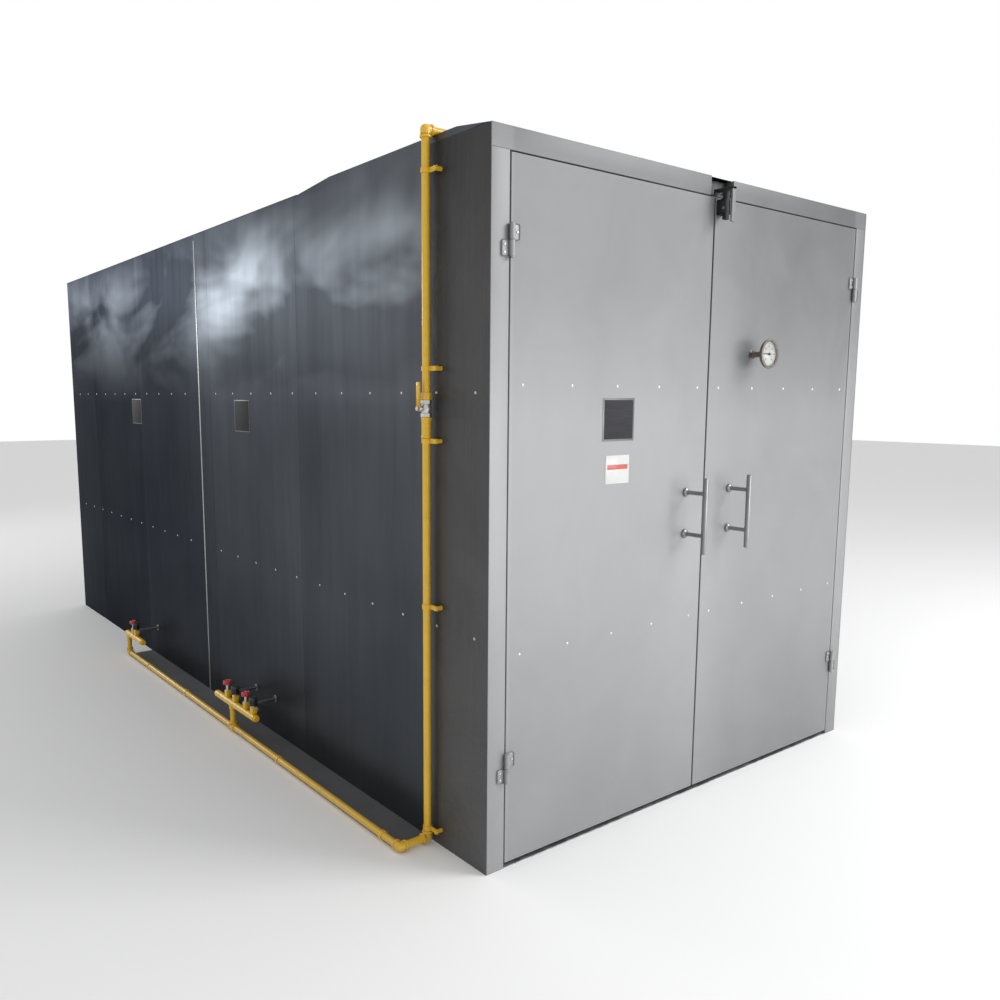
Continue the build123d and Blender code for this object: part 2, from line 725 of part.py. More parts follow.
def station_manifold(riser, manifold):
    """The pipe header of one burner station, standing on its riser."""
    x = floor_pipe_x
    y_riser = front_face + riser
    y0 = front_face + manifold[0]
    y1 = front_face + manifold[1]
    z = manifold_height
    stub = pipe("Z", x, y_riser, 0, floor_pipe_height + fitting_reach, z - fitting_reach)
    header = rod("Y", x, 0, z, y0, y1, fitting_radius)
    header += socket(x, y_riser, z, "-Z")
    header += rod("Y", x, 0, z, y0 - 12, y0, fitting_radius - 4)
    header += rod("Y", x, 0, z, y1, y1 + 12, fitting_radius - 4)
    return [stub, header]


def burner_valve(y, neck_top, spindle_top):
    """A nickel valve block on the header, with the spindle of its knob or regulator."""
    x = floor_pipe_x
    half = burner_valve_size / 2
    seat = manifold_height + fitting_radius
    top = seat + burner_valve_height
    valve = block(x - half, x + half, y - half, y + half, seat, top)
    valve = fillet(valve.edges().filter_by(Axis.Z), 4.0)
    valve += rod("Z", x, y, 0, top, neck_top, burner_spindle_radius * 1.6)
    if spindle_top > neck_top:
        valve += rod("Z", x, y, 0, neck_top, spindle_top, burner_spindle_radius)
    return valve


def burner_knob(y):
    """A fluted red knob on its spindle."""
    x = floor_pipe_x
    bottom = knob_height - knob_thickness / 2
    top = bottom + knob_thickness
    knob = rod("Z", x, y, 0, bottom, top, knob_radius)
    for lobe in range(8):
        angle = math.radians(lobe * 45 + 22.5)
        groove_x = x + (knob_radius + 3) * math.cos(angle)
        groove_y = y + (knob_radius + 3) * math.sin(angle)
        knob -= rod("Z", groove_x, groove_y, 0, bottom - 1, top + 1, 5.0)
    return knob - rod("Z", x, y, 0, bottom - 1, knob_height + 5, burner_spindle_radius + running_clearance)


def burner_regulator(y):
    """The black cap of a regulator."""
    bottom = regulator_top - regulator_height
    cap = rod("Z", floor_pipe_x, y, 0, bottom, regulator_top, regulator_radius)
    return fillet(cap.edges().group_by(Axis.Z)[-1], 4.0)


def build_stations():
    """The front station with two knobs and the rear station with one."""
    front = station_manifold(front_station_riser, front_manifold)
    rear = station_manifold(rear_station_riser, rear_manifold)
    node("burner_manifolds", *front, *rear)
    neck_top = knob_height - knob_thickness / 2 - 1
    knob_places = [front_face + place for place in front_knobs + rear_knobs]
    cap_places = [front_face + place for place in front_regulators + rear_regulators]
    cap_seat = regulator_top - regulator_height
    valves = [burner_valve(y, neck_top, knob_height + 4) for y in knob_places]
    valves += [burner_valve(y, cap_seat, cap_seat) for y in cap_places]
    node("burner_valves", *valves)
    node("burner_regulators", *[burner_regulator(y) for y in cap_places])
    for index, y in enumerate(knob_places):
        node(f"burner_knob_{index + 1}", burner_knob(y))


def build_burners():
    """Feed pipes through the left wall, tube burners and their guard."""
    feeds = []
    start = floor_pipe_x + burner_valve_size / 2
    for place in feed_places:
        feeds.append(rod("X", 0, place, feed_height, start, burner_x - burner_radius, feed_radius, feed_bore))
    node("burner_feed_pipes", *feeds)

    joint_gap = 120.0
    spans = ((frame_rear + burner_end_margin, module_joint - joint_gap),
             (module_joint + joint_gap, rear_face - wall - burner_end_margin))
    tubes = []
    for y0, y1 in spans:
        tube = rod("Y", burner_x, 0, feed_height, y0, y1, burner_radius)
        tube -= rod("Y", burner_x, 0, feed_height, y0 + burner_tube_wall, y1 - burner_tube_wall,
                    burner_radius - burner_tube_wall)
        count = int((y1 - y0 - 60) / burner_port_pitch)
        ports = [rod("Z", burner_x, y0 + 40 + step * burner_port_pitch, 0, feed_height + burner_radius - 4,
                     feed_height + burner_radius + 1, burner_port_radius) for step in range(count)]
        tube -= ports
        for y in (y0 + 30, y1 - 30):
            foot = block(burner_x - 12, burner_x + 12, y - 4, y + 4, floor_sheet,
                         feed_height - burner_radius + 4)
            tube += foot
        tubes.append(tube)
    node("burner_tubes", *tubes)

    y0 = frame_rear + burner_end_margin - 60
    y1 = rear_face - wall - burner_end_margin + 60
    front = block(guard_x - guard_sheet, guard_x, y0, y1, floor_sheet, guard_height)
    top = block(inner_left, guard_x, y0, y1, guard_height, guard_height + guard_sheet)
    node("burner_guard", front + top)


# ---- Roof equipment ----

def build_fan():
    """The circulation fan: motor on the roof, wheel below the ceiling."""
    plate_bottom = body_height
    plate_top = plate_bottom + fan_plate_thickness
    half = fan_plate_size / 2
    plate = block(-half, half, fan_y - half, fan_y + half, plate_bottom, plate_top)
    plate -= rod("Z", 0, fan_y, 0, plate_bottom - 1, plate_top + 1, fan_shaft_radius + 4)
    motor_bottom = plate_top
    flange_top = motor_bottom + 14
    motor_top = motor_bottom + fan_motor_height
    motor = rod("Z", 0, fan_y, 0, motor_bottom, flange_top, fan_motor_radius + 25)
    motor += rod("Z", 0, fan_y, 0, flange_top, motor_top, fan_motor_radius)
    motor += block(fan_motor_radius - 12, fan_motor_radius + 45, fan_y - 40, fan_y + 40,
                   flange_top + 50, flange_top + 130)
    bore = fan_shaft_radius + running_clearance
    shaft_top = motor_bottom + fan_shaft_bore_depth
    motor -= rod("Z", 0, fan_y, 0, motor_bottom - 1, shaft_top, bore)
    node("fan_motor", motor, plate)

    wheel_top = ceiling - fan_wheel_drop
    wheel_bottom = wheel_top - fan_wheel_height
    shaft = rod("Z", 0, fan_y, 0, wheel_bottom + 10, shaft_top - 1, fan_shaft_radius)
    node("fan_shaft", shaft)
    wheel = rod("Z", 0, fan_y, 0, wheel_bottom, wheel_top, 30.0)
    wheel += rod("Z", 0, fan_y, 0, wheel_top - 4, wheel_top, fan_wheel_radius)
    ring = rod("Z", 0, fan_y, 0, wheel_bottom, wheel_bottom + 4, fan_wheel_radius, fan_wheel_radius * 0.62)
    wheel += ring
    for step in range(fan_blades):
        blade = block(fan_wheel_radius * 0.5, fan_wheel_radius - 3, -2, 2, wheel_bottom + 2, wheel_top - 2)
        wheel += Pos(0, fan_y, 0) * Rot(0, 0, step * 360 / fan_blades) * blade
    wheel -= rod("Z", 0, fan_y, 0, wheel_bottom + 9, wheel_top + 1, bore)
    node("fan_wheel", wheel)


def build_flue():
    """The round exhaust spigot with its flange on the rear roof."""
    bore = flue_radius - flue_wall
    top = body_height + flue_height
    tube = rod("Z", flue_side, flue_y, 0, ceiling, top, flue_radius)
    tube += rod("Z", flue_side, flue_y, 0, body_height, body_height + 4, flue_radius + 30)
    tube -= rod("Z", flue_side, flue_y, 0, ceiling - 1, top + 1, bore)
    node("flue_spigot", tube)


# ---- Rivets on the shell ----

def build_shell_fasteners():
    """Rivet rows along the hidden wall rails, and the screws of the frame hinge leaves."""
    heads = []
    count = int((body_length - 2 * rivet_end) / rivet_pitch) + 1
    keep_off = joint_strip_width / 2 + rivet_radius + 1
    for z in rail_heights:
        for step in range(count):
            y = front_face + rivet_end + step * rivet_pitch
            if abs(y - module_joint) < keep_off or abs(y - riser_y) < pipe_radius:
                continue
            heads.append(Pos(left_face, y, z) * rivet("-X"))
            heads.append(Pos(right_face, y, z) * rivet("+X"))
        across = int((body_width - 2 * rivet_end) / rivet_pitch) + 1
        for step in range(across):
            heads.append(Pos(left_face + rivet_end + step * rivet_pitch, rear_face, z) * rivet("+Y"))
    for side in (-1, 1):
        for bottom in hinge_bottoms:
            for dz in (12, 36):
                heads.append(screw(side * (hinge_x + 24), front_face - hinge_leaf_thickness, bottom + dz))
    node("shell_fasteners", *heads)


build_walls()
build_trims()
build_roof_cap()
build_frame()
build_door(-1, "left")
build_door(1, "right")
seam = door_seam_gap / 2
node("meeting_gasket", block(seam - meeting_gasket_thickness, seam, front_face + 6, door_rear,
                             door_floor_gap, door_top))
build_hinges()
build_handle(-handle_offset_left, "left")
build_handle(handle_offset_right, "right")
build_thermometer()
build_latch()
build_gas_line()
build_supports()
build_stations()
build_burners()
build_fan()
build_flue()
build_shell_fasteners()

for name, shape in nodes.items():
    export_step(shape, f"parts/{name}.step")
print(len(nodes), "nodes")
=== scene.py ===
import json
import math

import bmesh
import bpy
from mathutils import Matrix, Vector


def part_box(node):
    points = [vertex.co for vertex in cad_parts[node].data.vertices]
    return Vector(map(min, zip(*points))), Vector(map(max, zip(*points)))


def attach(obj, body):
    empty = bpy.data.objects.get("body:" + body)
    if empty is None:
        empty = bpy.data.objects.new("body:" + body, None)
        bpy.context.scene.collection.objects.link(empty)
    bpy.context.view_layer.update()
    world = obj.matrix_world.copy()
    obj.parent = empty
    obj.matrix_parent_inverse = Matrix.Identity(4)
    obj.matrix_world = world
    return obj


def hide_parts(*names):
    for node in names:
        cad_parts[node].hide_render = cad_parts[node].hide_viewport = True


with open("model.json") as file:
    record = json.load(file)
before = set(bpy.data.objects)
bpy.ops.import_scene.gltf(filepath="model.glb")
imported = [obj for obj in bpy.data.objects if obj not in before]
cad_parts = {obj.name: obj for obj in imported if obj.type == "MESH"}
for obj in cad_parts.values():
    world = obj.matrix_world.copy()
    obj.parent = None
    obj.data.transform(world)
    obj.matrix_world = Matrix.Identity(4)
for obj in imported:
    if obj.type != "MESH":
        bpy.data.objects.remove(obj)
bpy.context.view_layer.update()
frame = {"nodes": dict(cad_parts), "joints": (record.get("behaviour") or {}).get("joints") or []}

# ---- Wall filling ----
# Slabs of mineral wool stand between the outer and inner sheets of the walls, roof and doors.
# Only their cut edges show, at the sheet joints and the pipe holes. The shader tools start here.


class Wire:
    """One shader socket. Sums and products on it add Math nodes to its finish."""

    def __init__(self, finish, socket):
        self.finish = finish
        self.socket = socket

    def math(self, operation, first, second=0.0):
        return self.finish.math(operation, first, second)

    def __add__(self, other):
        return self.math("ADD", self, other)

    def __radd__(self, other):
        return self.math("ADD", other, self)

    def __sub__(self, other):
        return self.math("SUBTRACT", self, other)

    def __rsub__(self, other):
        return self.math("SUBTRACT", other, self)

    def __mul__(self, other):
        return self.math("MULTIPLY", self, other)

    def __rmul__(self, other):
        return self.math("MULTIPLY", other, self)

    def __pow__(self, other):
        return self.math("POWER", self, other)


class Finish:
    """One procedural material on Object coordinates, in metres of the oven's own frame."""

    def __init__(self, name, metallic=0.0, coat=0.0):
        self.material = bpy.data.materials.new(name)
        self.material.use_nodes = True
        self.tree = self.material.node_tree
        self.shader = self.tree.nodes["Principled BSDF"]
        self.shader.inputs["Metallic"].default_value = metallic
        self.shader.inputs["Coat Weight"].default_value = coat
        self.place = self.add("ShaderNodeTexCoord", {}, {}, "Object")

    def add(self, kind, settings, inputs, output=0):
        """Any node: its type, its settings, and the values or wires of its sockets."""
        made = self.tree.nodes.new(kind)
        for key, value in settings.items():
            if key == "stops":
                self.set_stops(made.color_ramp, value)
            else:
                setattr(made, key, value)
        for key, value in inputs.items():
            if isinstance(value, Wire):
                self.tree.links.new(value.socket, made.inputs[key])
            else:
                made.inputs[key].default_value = value
        return Wire(self, made.outputs[output])

    def set_stops(self, ramp, stops):
        while len(ramp.elements) < len(stops):
            ramp.elements.new(0.5)
        for element, (position, shade) in zip(ramp.elements, stops):
            element.position = position
            element.color = (shade, shade, shade, 1.0)

    def stretched(self, x, y, z):
        """The place, scaled along each axis, so that a pattern can be drawn out."""
        return self.add("ShaderNodeMapping", {}, {"Vector": self.place, "Scale": (x, y, z)})

    def noise(self, scale, detail=3.0, rough=0.55, at=None, twist=0.0):
        sockets = {"Vector": at or self.place, "Scale": scale, "Detail": detail, "Roughness": rough,
                   "Distortion": twist}
        return self.add("ShaderNodeTexNoise", {}, sockets, "Fac")

    def steps(self, value, *stops):
        """The value passed through a ramp of grey stops."""
        return self.add("ShaderNodeValToRGB", {"stops": stops}, {"Fac": value}, "Color")

    def blend(self, factor, first, second):
        """A colour between two colours, or colour wires."""
        sockets = {"Factor": factor, 6: as_colour(first), 7: as_colour(second)}
        return self.add("ShaderNodeMix", {"data_type": "RGBA"}, sockets, 2)

    def math(self, operation, first, second=0.0):
        return self.add("ShaderNodeMath", {"operation": operation}, {0: first, 1: second})

    def axis(self, letter):
        """One coordinate of the place."""
        return self.add("ShaderNodeSeparateXYZ", {}, {"Vector": self.place}, letter)

    def bump(self, height, depth, under=None):
        """A bump of that depth in metres, over another bump if one is given."""
        sockets = {"Height": height, "Distance": depth, "Strength": 1.0}
        if under is not None:
            sockets["Normal"] = under
        return self.add("ShaderNodeBump", {}, sockets)

    def paint(self, colour, roughness, height=None, depth=0.001):
        """Feed the shader: colour, roughness and, if given, a bump of that depth in metres."""
        for key, value in (("Base Color", colour), ("Roughness", roughness)):
            if isinstance(value, Wire):
                self.tree.links.new(value.socket, self.shader.inputs[key])
            else:
                self.shader.inputs[key].default_value = as_colour(value) if key == "Base Color" else value
        if height is not None:
            self.feed("Normal", self.bump(height, depth))
        return self.material

    def feed(self, key, wire):
        self.tree.links.new(wire.socket, self.shader.inputs[key])


def as_colour(value):
    return value if isinstance(value, Wire) else (*value[:3], 1.0)


def dress(node_name, material):
    """Give a CAD node its finish."""
    piece = frame["nodes"][node_name]
    if not piece.material_slots:
        piece.data.materials.append(material)
    for holder in piece.material_slots:
        holder.material = material


wool = Finish("mineral_wool")
fibres = wool.noise(260.0, 6.0, 0.75, twist=1.5)
layers = wool.noise(5.0, 3.0, 0.6, at=wool.stretched(1.0, 1.0, 12.0))
wool_colour = wool.blend(fibres * layers * 2.0, (0.20, 0.15, 0.06), (0.62, 0.52, 0.28))
wool_finish = wool.paint(wool_colour, 0.95, fibres, 0.004)
for name in ("wall_insulation", "roof_insulation", "left_door_core", "right_door_core"):
    dress(name, wool_finish)

# ---- Floor, inner lining, stops ----
# Galvanised steel sheet lines the chamber, with a plain floor plate and square stop bars
# behind the doors. The zinc shows its spangle, and it is stained by heat near the burners.

zinc = Finish("galvanised_sheet", metallic=0.85)
spangle = zinc.add("ShaderNodeTexVoronoi", {"feature": "F1"}, {"Vector": zinc.place, "Scale": 45.0}, "Color")
flake = zinc.add("ShaderNodeSeparateColor", {}, {"Color": spangle}, 0)
stain = zinc.noise(2.4, 4.0, 0.6)
zinc_colour = zinc.blend(flake * 0.5 + stain * 0.5, (0.34, 0.35, 0.36), (0.62, 0.63, 0.64))
zinc_finish = zinc.paint(zinc_colour, flake * 0.16 + stain * 0.2 + 0.26, stain, 0.002)
for name in ("floor_plate", "inner_sheets", "left_door_inner_sheet", "right_door_inner_sheet"):
    dress(name, zinc_finish)

bare = Finish("bare_steel", metallic=0.9)
scuffs = bare.noise(30.0, 5.0, 0.7, at=bare.stretched(1.0, 1.0, 8.0))
rust = bare.steps(bare.noise(7.0, 6.0, 0.7), (0.55, 0.0), (0.75, 1.0))
bare_colour = bare.blend(rust * 0.55, (0.30, 0.30, 0.31), (0.20, 0.11, 0.06))
bare_finish = bare.paint(bare_colour, scuffs * 0.25 + 0.32, scuffs, 0.0004)
for name in ("door_stop_bars", "fan_shaft"):
    dress(name, bare_finish)

# ---- Burners ----
# Two steel tube burners lie along the left wall behind a folded guard. Gas comes to them
# through thin pipes in the wall. Their heat has blued and browned the steel.

hot = Finish("heated_steel", metallic=0.9)
heat = hot.noise(9.0, 5.0, 0.65)
streaks = hot.noise(40.0, 4.0, 0.7, at=hot.stretched(1.0, 0.15, 1.0))
tint = hot.blend(hot.steps(heat, (0.35, 0.0), (0.65, 1.0)), (0.24, 0.17, 0.11), (0.16, 0.18, 0.24))
hot_finish = hot.paint(hot.blend(streaks * 0.6, tint, (0.40, 0.39, 0.37)), streaks * 0.3 + 0.3, streaks,
                       0.0006)
dress("burner_tubes", hot_finish)
dress("burner_guard", hot_finish)

# ---- Side and rear wall sheets ----
# Each wall is clad with upright steel sheets about a metre wide, riveted to two hidden rails.
# Thin sheet is never flat: between its edges and the rails it bulges by a millimetre or two.


def clear():
    """Leave every object unselected."""
    bpy.ops.object.select_all(action="DESELECT")


def pick(piece):
    """Select one object alone and make it the active one."""
    clear()
    piece.select_set(True)
    bpy.context.view_layer.objects.active = piece
    return piece


def solids_of(node_name):
    """The lowest and highest corners of each separate solid of a CAD node."""
    shape = bmesh.new()
    shape.from_mesh(frame["nodes"][node_name].data)
    bmesh.ops.remove_doubles(shape, verts=shape.verts, dist=1e-5)
    unseen = set(shape.verts)
    boxes = []
    while unseen:
        waiting = [unseen.pop()]
        corners = []
        while waiting:
            corner = waiting.pop()
            corners.append(corner.co)
            for edge in corner.link_edges:
                other = edge.other_vert(corner)
                if other in unseen:
                    unseen.remove(other)
                    waiting.append(other)
        low = Vector([min(corner[axis] for corner in corners) for axis in range(3)])
        high = Vector([max(corner[axis] for corner in corners) for axis in range(3)])
        boxes.append((low, high))
    shape.free()
    return sorted(boxes, key=lambda box: tuple(round(value, 4) for value in box[0]))


def finish_mesh(piece, *modifiers):
    """Add modifiers, each as its type and settings, and apply them."""
    pick(piece)
    for kind, settings in modifiers:
        added = piece.modifiers.new(kind.lower(), kind)
        for key, value in settings.items():
            setattr(added, key, value)
        bpy.ops.object.modifier_apply(modifier=added.name)
    return piece


crease = math.radians(35.0)


def smooth(piece):
    pick(piece)
    bpy.ops.object.shade_smooth_by_angle(angle=crease)
    return piece


def apply_place(piece):
    pick(piece)
    bpy.ops.object.transform_apply(location=True, rotation=True, scale=True)
    return piece


def paint_piece(piece, material):
    piece.data.materials.clear()
    piece.data.materials.append(material)
    return piece


def joined(pieces):
    """Several objects as one, each keeping its own material."""
    clear()
    for piece in pieces:
        piece.select_set(True)
    bpy.context.view_layer.objects.active = pieces[0]
    if len(pieces) > 1:
        bpy.ops.object.join()
    return pieces[0]


def settle(piece, name, body, nodes=(), material=None):
    """Name a finished piece, and say what it rides on and which CAD nodes it stands for."""
    apply_place(piece)
    piece.name = name
    piece.data.name = name
    if material:
        paint_piece(piece, material)
    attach(piece, body)
    if nodes:
        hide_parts(*nodes)
    return piece


ways = {"-X": ((0, -1, 0), (0, 0, 1)), "+X": ((0, 1, 0), (0, 0, 1)), "+Y": ((-1, 0, 0), (0, 0, 1)),
        "+Z": ((1, 0, 0), (0, 1, 0))}
rail_heights = sorted({round((low.z + high.z) / 2, 3) for low, high in solids_of("shell_fasteners")
                       if high.y > 0 and low.x < 0})
sheet_thickness = 0.0015
ripple_clouds = bpy.data.textures.new("ripples", "CLOUDS")
ripple_clouds.noise_scale = 0.42
ripple_clouds.noise_depth = 1


def eased(distance, reach):
    """0 at a fixed line, rising smoothly to 1 at reach and beyond."""
    share = min(1.0, max(0.0, distance / reach))
    return share * share * (3.0 - 2.0 * share)


def rippled_sheet(low, high, way, swell, rails=(), flats=()):
    """One sheet between two corners, its face towards way, bulging by up to swell.

    It stays flat along the rails and round each place in flats.
    """
    across, up = (Vector(axis) for axis in ways[way])
    normal = across.cross(up)
    size = high - low
    width = abs(size.dot(across))
    height = abs(size.dot(up))
    middle = (low + high) / 2
    face = middle + normal * abs(size.dot(normal)) / 2
    spacing = 0.04
    clear()
    bpy.ops.mesh.primitive_grid_add(x_subdivisions=max(2, round(width / spacing)),
                                    y_subdivisions=max(2, round(height / spacing)), size=1.0)
    made = bpy.context.object
    basis = Matrix((across * width, up * height, normal)).transposed().to_4x4()
    made.matrix_world = Matrix.Translation(face) @ basis
    apply_place(made)
    held = made.vertex_groups.new(name="free")
    for vertex in made.data.vertices:
        place = vertex.co - middle
        share = eased(width / 2 - abs(place.dot(across)), 0.16)
        share *= eased(height / 2 - abs(place.dot(up)), 0.2)
        for rail in rails:
            share *= eased(abs(vertex.co.z - rail), 0.14)
        for flat in flats:
            apart = vertex.co - flat
            share *= eased(max(abs(apart.dot(across)), abs(apart.dot(up))) - 0.13, 0.14)
        held.add([vertex.index], share, "REPLACE")
    finish_mesh(made, ("DISPLACE", {"texture": ripple_clouds, "strength": swell, "mid_level": 0.15,
                                    "vertex_group": "free"}),
                ("SOLIDIFY", {"thickness": sheet_thickness, "offset": -1.0}))
    return smooth(made)


joint_low, joint_high = min(solids_of("edge_trims"), key=lambda box: abs(box[0].y + box[1].y))
module_joint = (joint_low.y + joint_high.y) / 2


def split_at_joint(boxes):
    """Boxes of sheets that meet at the module joint are told apart again."""
    parts = []
    for low, high in boxes:
        if low.y < module_joint - 0.01 and high.y > module_joint + 0.01 and low.x * high.x > 0:
            parts.append((low, Vector((high.x, module_joint, high.z))))
            parts.append((Vector((low.x, module_joint, low.z)), high))
        else:
            parts.append((low, high))
    return parts


side_sheets = split_at_joint(solids_of("left_wall_sheets"))
dark = Finish("dark_sheet", metallic=1.0)
dark.shader.inputs["Specular Tint"].default_value = (0.30, 0.30, 0.31, 1.0)
up_the_wall = dark.axis("Z")
along_wall = dark.axis("Y")
batch = 0.0
for share, (low, high) in zip((0.2, 0.5, 0.1, 0.45, 0.0, 0.3, 0.1), side_sheets):
    past_edge = dark.math("GREATER_THAN", along_wall, low.y)
    batch = past_edge * dark.math("LESS_THAN", along_wall, high.y) * share + batch
clouds = dark.noise(0.9, 3.0, 0.5, twist=0.3)
# Painted reflection: soft bright patches on the upper part of the left wall stand in for mirrored window
# light. They lighten the colour and lower the roughness a little.
reflection_patches = dark.noise(1.9, 3.0, 0.5, at=dark.stretched(1.0, 0.6, 1.3), twist=0.35)
rolling = dark.noise(17.0, 4.0, 0.6, at=dark.stretched(1.0, 1.0, 0.06), twist=0.4)
reflection_band = dark.steps(up_the_wall * 0.4, (0.62, 0.0), (0.76, 1.0), (0.88, 0.9), (0.97, 0.2))
on_the_left = dark.math("LESS_THAN", dark.axis("X"), -1.0)
painted_reflection = dark.steps(reflection_patches, (0.42, 0.0), (0.66, 1.0)) * reflection_band * on_the_left
rear_module = dark.math("GREATER_THAN", along_wall, module_joint)
tone = (clouds * 0.25 + rolling * 0.14 + painted_reflection * 0.7 + batch * 0.12 + 0.06) * (1.0 - rear_module * 0.3)
dark_colour = dark.blend(tone, (0.026, 0.027, 0.031), (0.30, 0.33, 0.365))
dark_finish = dark.paint(dark_colour, 0.36 - painted_reflection * 0.06 + clouds * 0.12 - rolling * 0.05, clouds, 0.010)

left_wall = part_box("left_wall_sheets")[0].x
wall_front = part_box("left_door_pan")[0].y
wall_plate_centres = [Vector((left_wall, wall_front + back, 1.495)) for back in (1.86, 3.42)]
for node_name, way in (("left_wall_sheets", "-X"), ("right_wall_sheets", "+X"), ("rear_wall_sheets", "+Y")):
    for count, (low, high) in enumerate(split_at_joint(solids_of(node_name)), 1):
        swell = 0.007 if way != "+Y" else 0.003
        flats = wall_plate_centres if way == "-X" else ()
        sheet_piece = rippled_sheet(low, high, way, swell, rail_heights, flats)
        settle(sheet_piece, f"{node_name[:-1]}_{count}", "oven_body", [node_name], dark_finish)

# ---- Collar round the doors ----
# The first 32 cm of each side is a separate, lighter sheet folded round the door frame.
# It is brushed and has the same slight bulges.

collar = Finish("collar_sheet", metallic=1.0)
collar.shader.inputs["Specular Tint"].default_value = (0.5, 0.5, 0.5, 1.0)
collar_clouds = collar.noise(2.2, 5.0, 0.6, twist=0.8)
collar_grain = collar.noise(90.0, 3.0, 0.6, at=collar.stretched(1.0, 1.0, 0.03))
# Painted shade: the collar's colour is darker towards the top and lighter towards the floor.
collar_painted_shade = collar.steps(collar.axis("Z") * 0.4, (0.0, 1.0), (1.0, 0.0))
collar_tone = collar_clouds * 0.35 + collar_grain * 0.15 + collar_painted_shade * 0.5
collar_colour = collar.blend(collar_tone, (0.03, 0.03, 0.033), (0.20, 0.20, 0.202))
collar_finish = collar.paint(collar_colour, 0.40 + collar_clouds * 0.2, collar_clouds, 0.01)
low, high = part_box("collar_sheets")
skin = sheet_thickness
frame_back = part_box("door_posts")[1].y
for side, way, corner, opposite in (
        ("left", "-X", low, (low.x + skin, high.y, high.z - skin)),
        ("right", "+X", (high.x - skin, low.y, low.z), (high.x, high.y, high.z - skin)),
        ("top", "+Z", (low.x, frame_back, high.z - skin), high)):
    swell = 0.0005 if side == "top" else 0.004
    sheet_piece = rippled_sheet(Vector(corner), Vector(opposite), way, swell, rail_heights)
    settle(sheet_piece, f"collar_sheet_{side}", "oven_body", ["collar_sheets"], collar_finish)

# ---- Roof ----
# The roof is the same dark sheet laid across, with a low folded cover over its front part.
# Folded angles cap its long edges, and bright strips cover the joint of the two modules.

dress("roof_sheets", dark_finish)
dress("roof_cap", dark_finish)


def round_edges(piece, radius, segments=3):
    finish_mesh(piece, ("BEVEL", {"width": radius, "segments": segments, "limit_method": "ANGLE",
                                  "angle_limit": crease}))
    return smooth(piece)


def bar(low, high, radius=0.0, segments=3):
    """A block between two corners, its edges rounded."""
    low = Vector(low)
    high = Vector(high)
    clear()
    bpy.ops.mesh.primitive_cube_add(size=1.0, location=(low + high) / 2)
    made = bpy.context.object
    made.scale = high - low
    apply_place(made)
    return round_edges(made, radius, segments) if radius else made


def fused(pieces):
    """Overlapping pieces as one closed shape."""
    first = pieces[0]
    for other in pieces[1:]:
        finish_mesh(first, ("BOOLEAN", {"operation": "UNION", "object": other, "solver": "EXACT"}))
        bpy.data.objects.remove(other)
    return first


bright = Finish("bright_strip", metallic=0.8)
strip_grain = bright.noise(120.0, 4.0, 0.6, at=bright.stretched(1.0, 1.0, 0.04))
strip_marks = bright.noise(6.0, 5.0, 0.7)
bright_colour = bright.blend(strip_marks * 0.6 + strip_grain * 0.4, (0.26, 0.27, 0.28), (0.50, 0.51, 0.52))
bright_finish = bright.paint(bright_colour, strip_grain * 0.25 + 0.25, strip_grain, 0.0002)

lip = 0.0015
for low, high in solids_of("edge_trims"):
    size = high - low
    if size.y > 1.0:
        side = "left" if high.x < 0 else "right"
        outer = (low.x, low.x + lip) if side == "left" else (high.x - lip, high.x)
        drop = bar((outer[0], low.y, low.z), (outer[1], high.y, high.z))
        top = bar((low.x, low.y, high.z - lip), (high.x, high.y, high.z))
        angle_piece = round_edges(fused([drop, top]), 0.0004, 2)
        settle(angle_piece, f"roof_edge_{side}", "oven_body", ["edge_trims"], dark_finish)
    else:
        place = "rear" if low.y > 2.0 else ("roof" if size.x > 1.0 else ("left" if high.x < 0 else "right"))
        strip = bar(low, high, 0.0005, 2)
        settle(strip, f"joint_strip_{place}", "oven_body", ["edge_trims"], bright_finish)

# ---- Door frame ----
# Square steel posts and a lintel, welded up and painted silver, carry the doors. A gap in
# the lintel, with a keeper bar across it, takes the latch.

silver = Finish("silver_paint", metallic=0.3)
waves = silver.noise(1.4, 3.0, 0.5, at=silver.stretched(1.0, 1.0, 0.6))
patches = silver.noise(3.2, 5.0, 0.6, twist=0.9)
peel = silver.noise(420.0, 2.0, 0.5)
# Painted shade: the silver is darker towards the head of the doors and over the lintel, and a little darker
# at the foot.
painted_shade_by_height = silver.steps(silver.axis("Z") * 0.4, (0.0, 0.75), (0.4, 1.0), (0.6, 0.95), (0.78, 0.42),
                    (0.93, 0.2), (0.96, 0.05))
across_front = silver.axis("X")
# Painted shade: the right door is painted darker than the left.
right_door_painted_shade = silver.steps(across_front * 0.4 + 0.5, (0.5, 0.0), (0.6, 1.0))
# Painted light: the posts are painted lighter than the doors.
posts_painted_light = silver.steps(silver.math("ABSOLUTE", across_front) * 0.9, (0.885, 0.0), (0.9, 1.0))
shade = waves * 0.25 + patches * 0.2 + painted_shade_by_height * 0.55 - right_door_painted_shade * 0.16 + posts_painted_light * 0.12
silver_colour = silver.blend(shade, (0.08, 0.081, 0.083), (0.36, 0.366, 0.372))
silver_bump = silver.bump(waves, 0.02, silver.bump(peel, 0.00004))
silver_finish = silver.paint(silver_colour, 0.42 + patches * 0.14)
silver.feed("Normal", silver_bump)

for low, high in solids_of("door_posts"):
    side = "left" if high.x < 0 else "right"
    settle(bar(low, high, 0.0015), f"frame_post_{side}", "oven_body", ["door_posts"],
           silver_finish)
for low, high in solids_of("lintel"):
    side = "left" if high.x < 0 else "right"
    settle(bar(low, high, 0.0015), f"frame_head_{side}", "oven_body", ["lintel"],
           silver_finish)

# The latch pocket takes the darker collar finish as painted shade for its recess.
dress("latch_pocket", collar_finish)

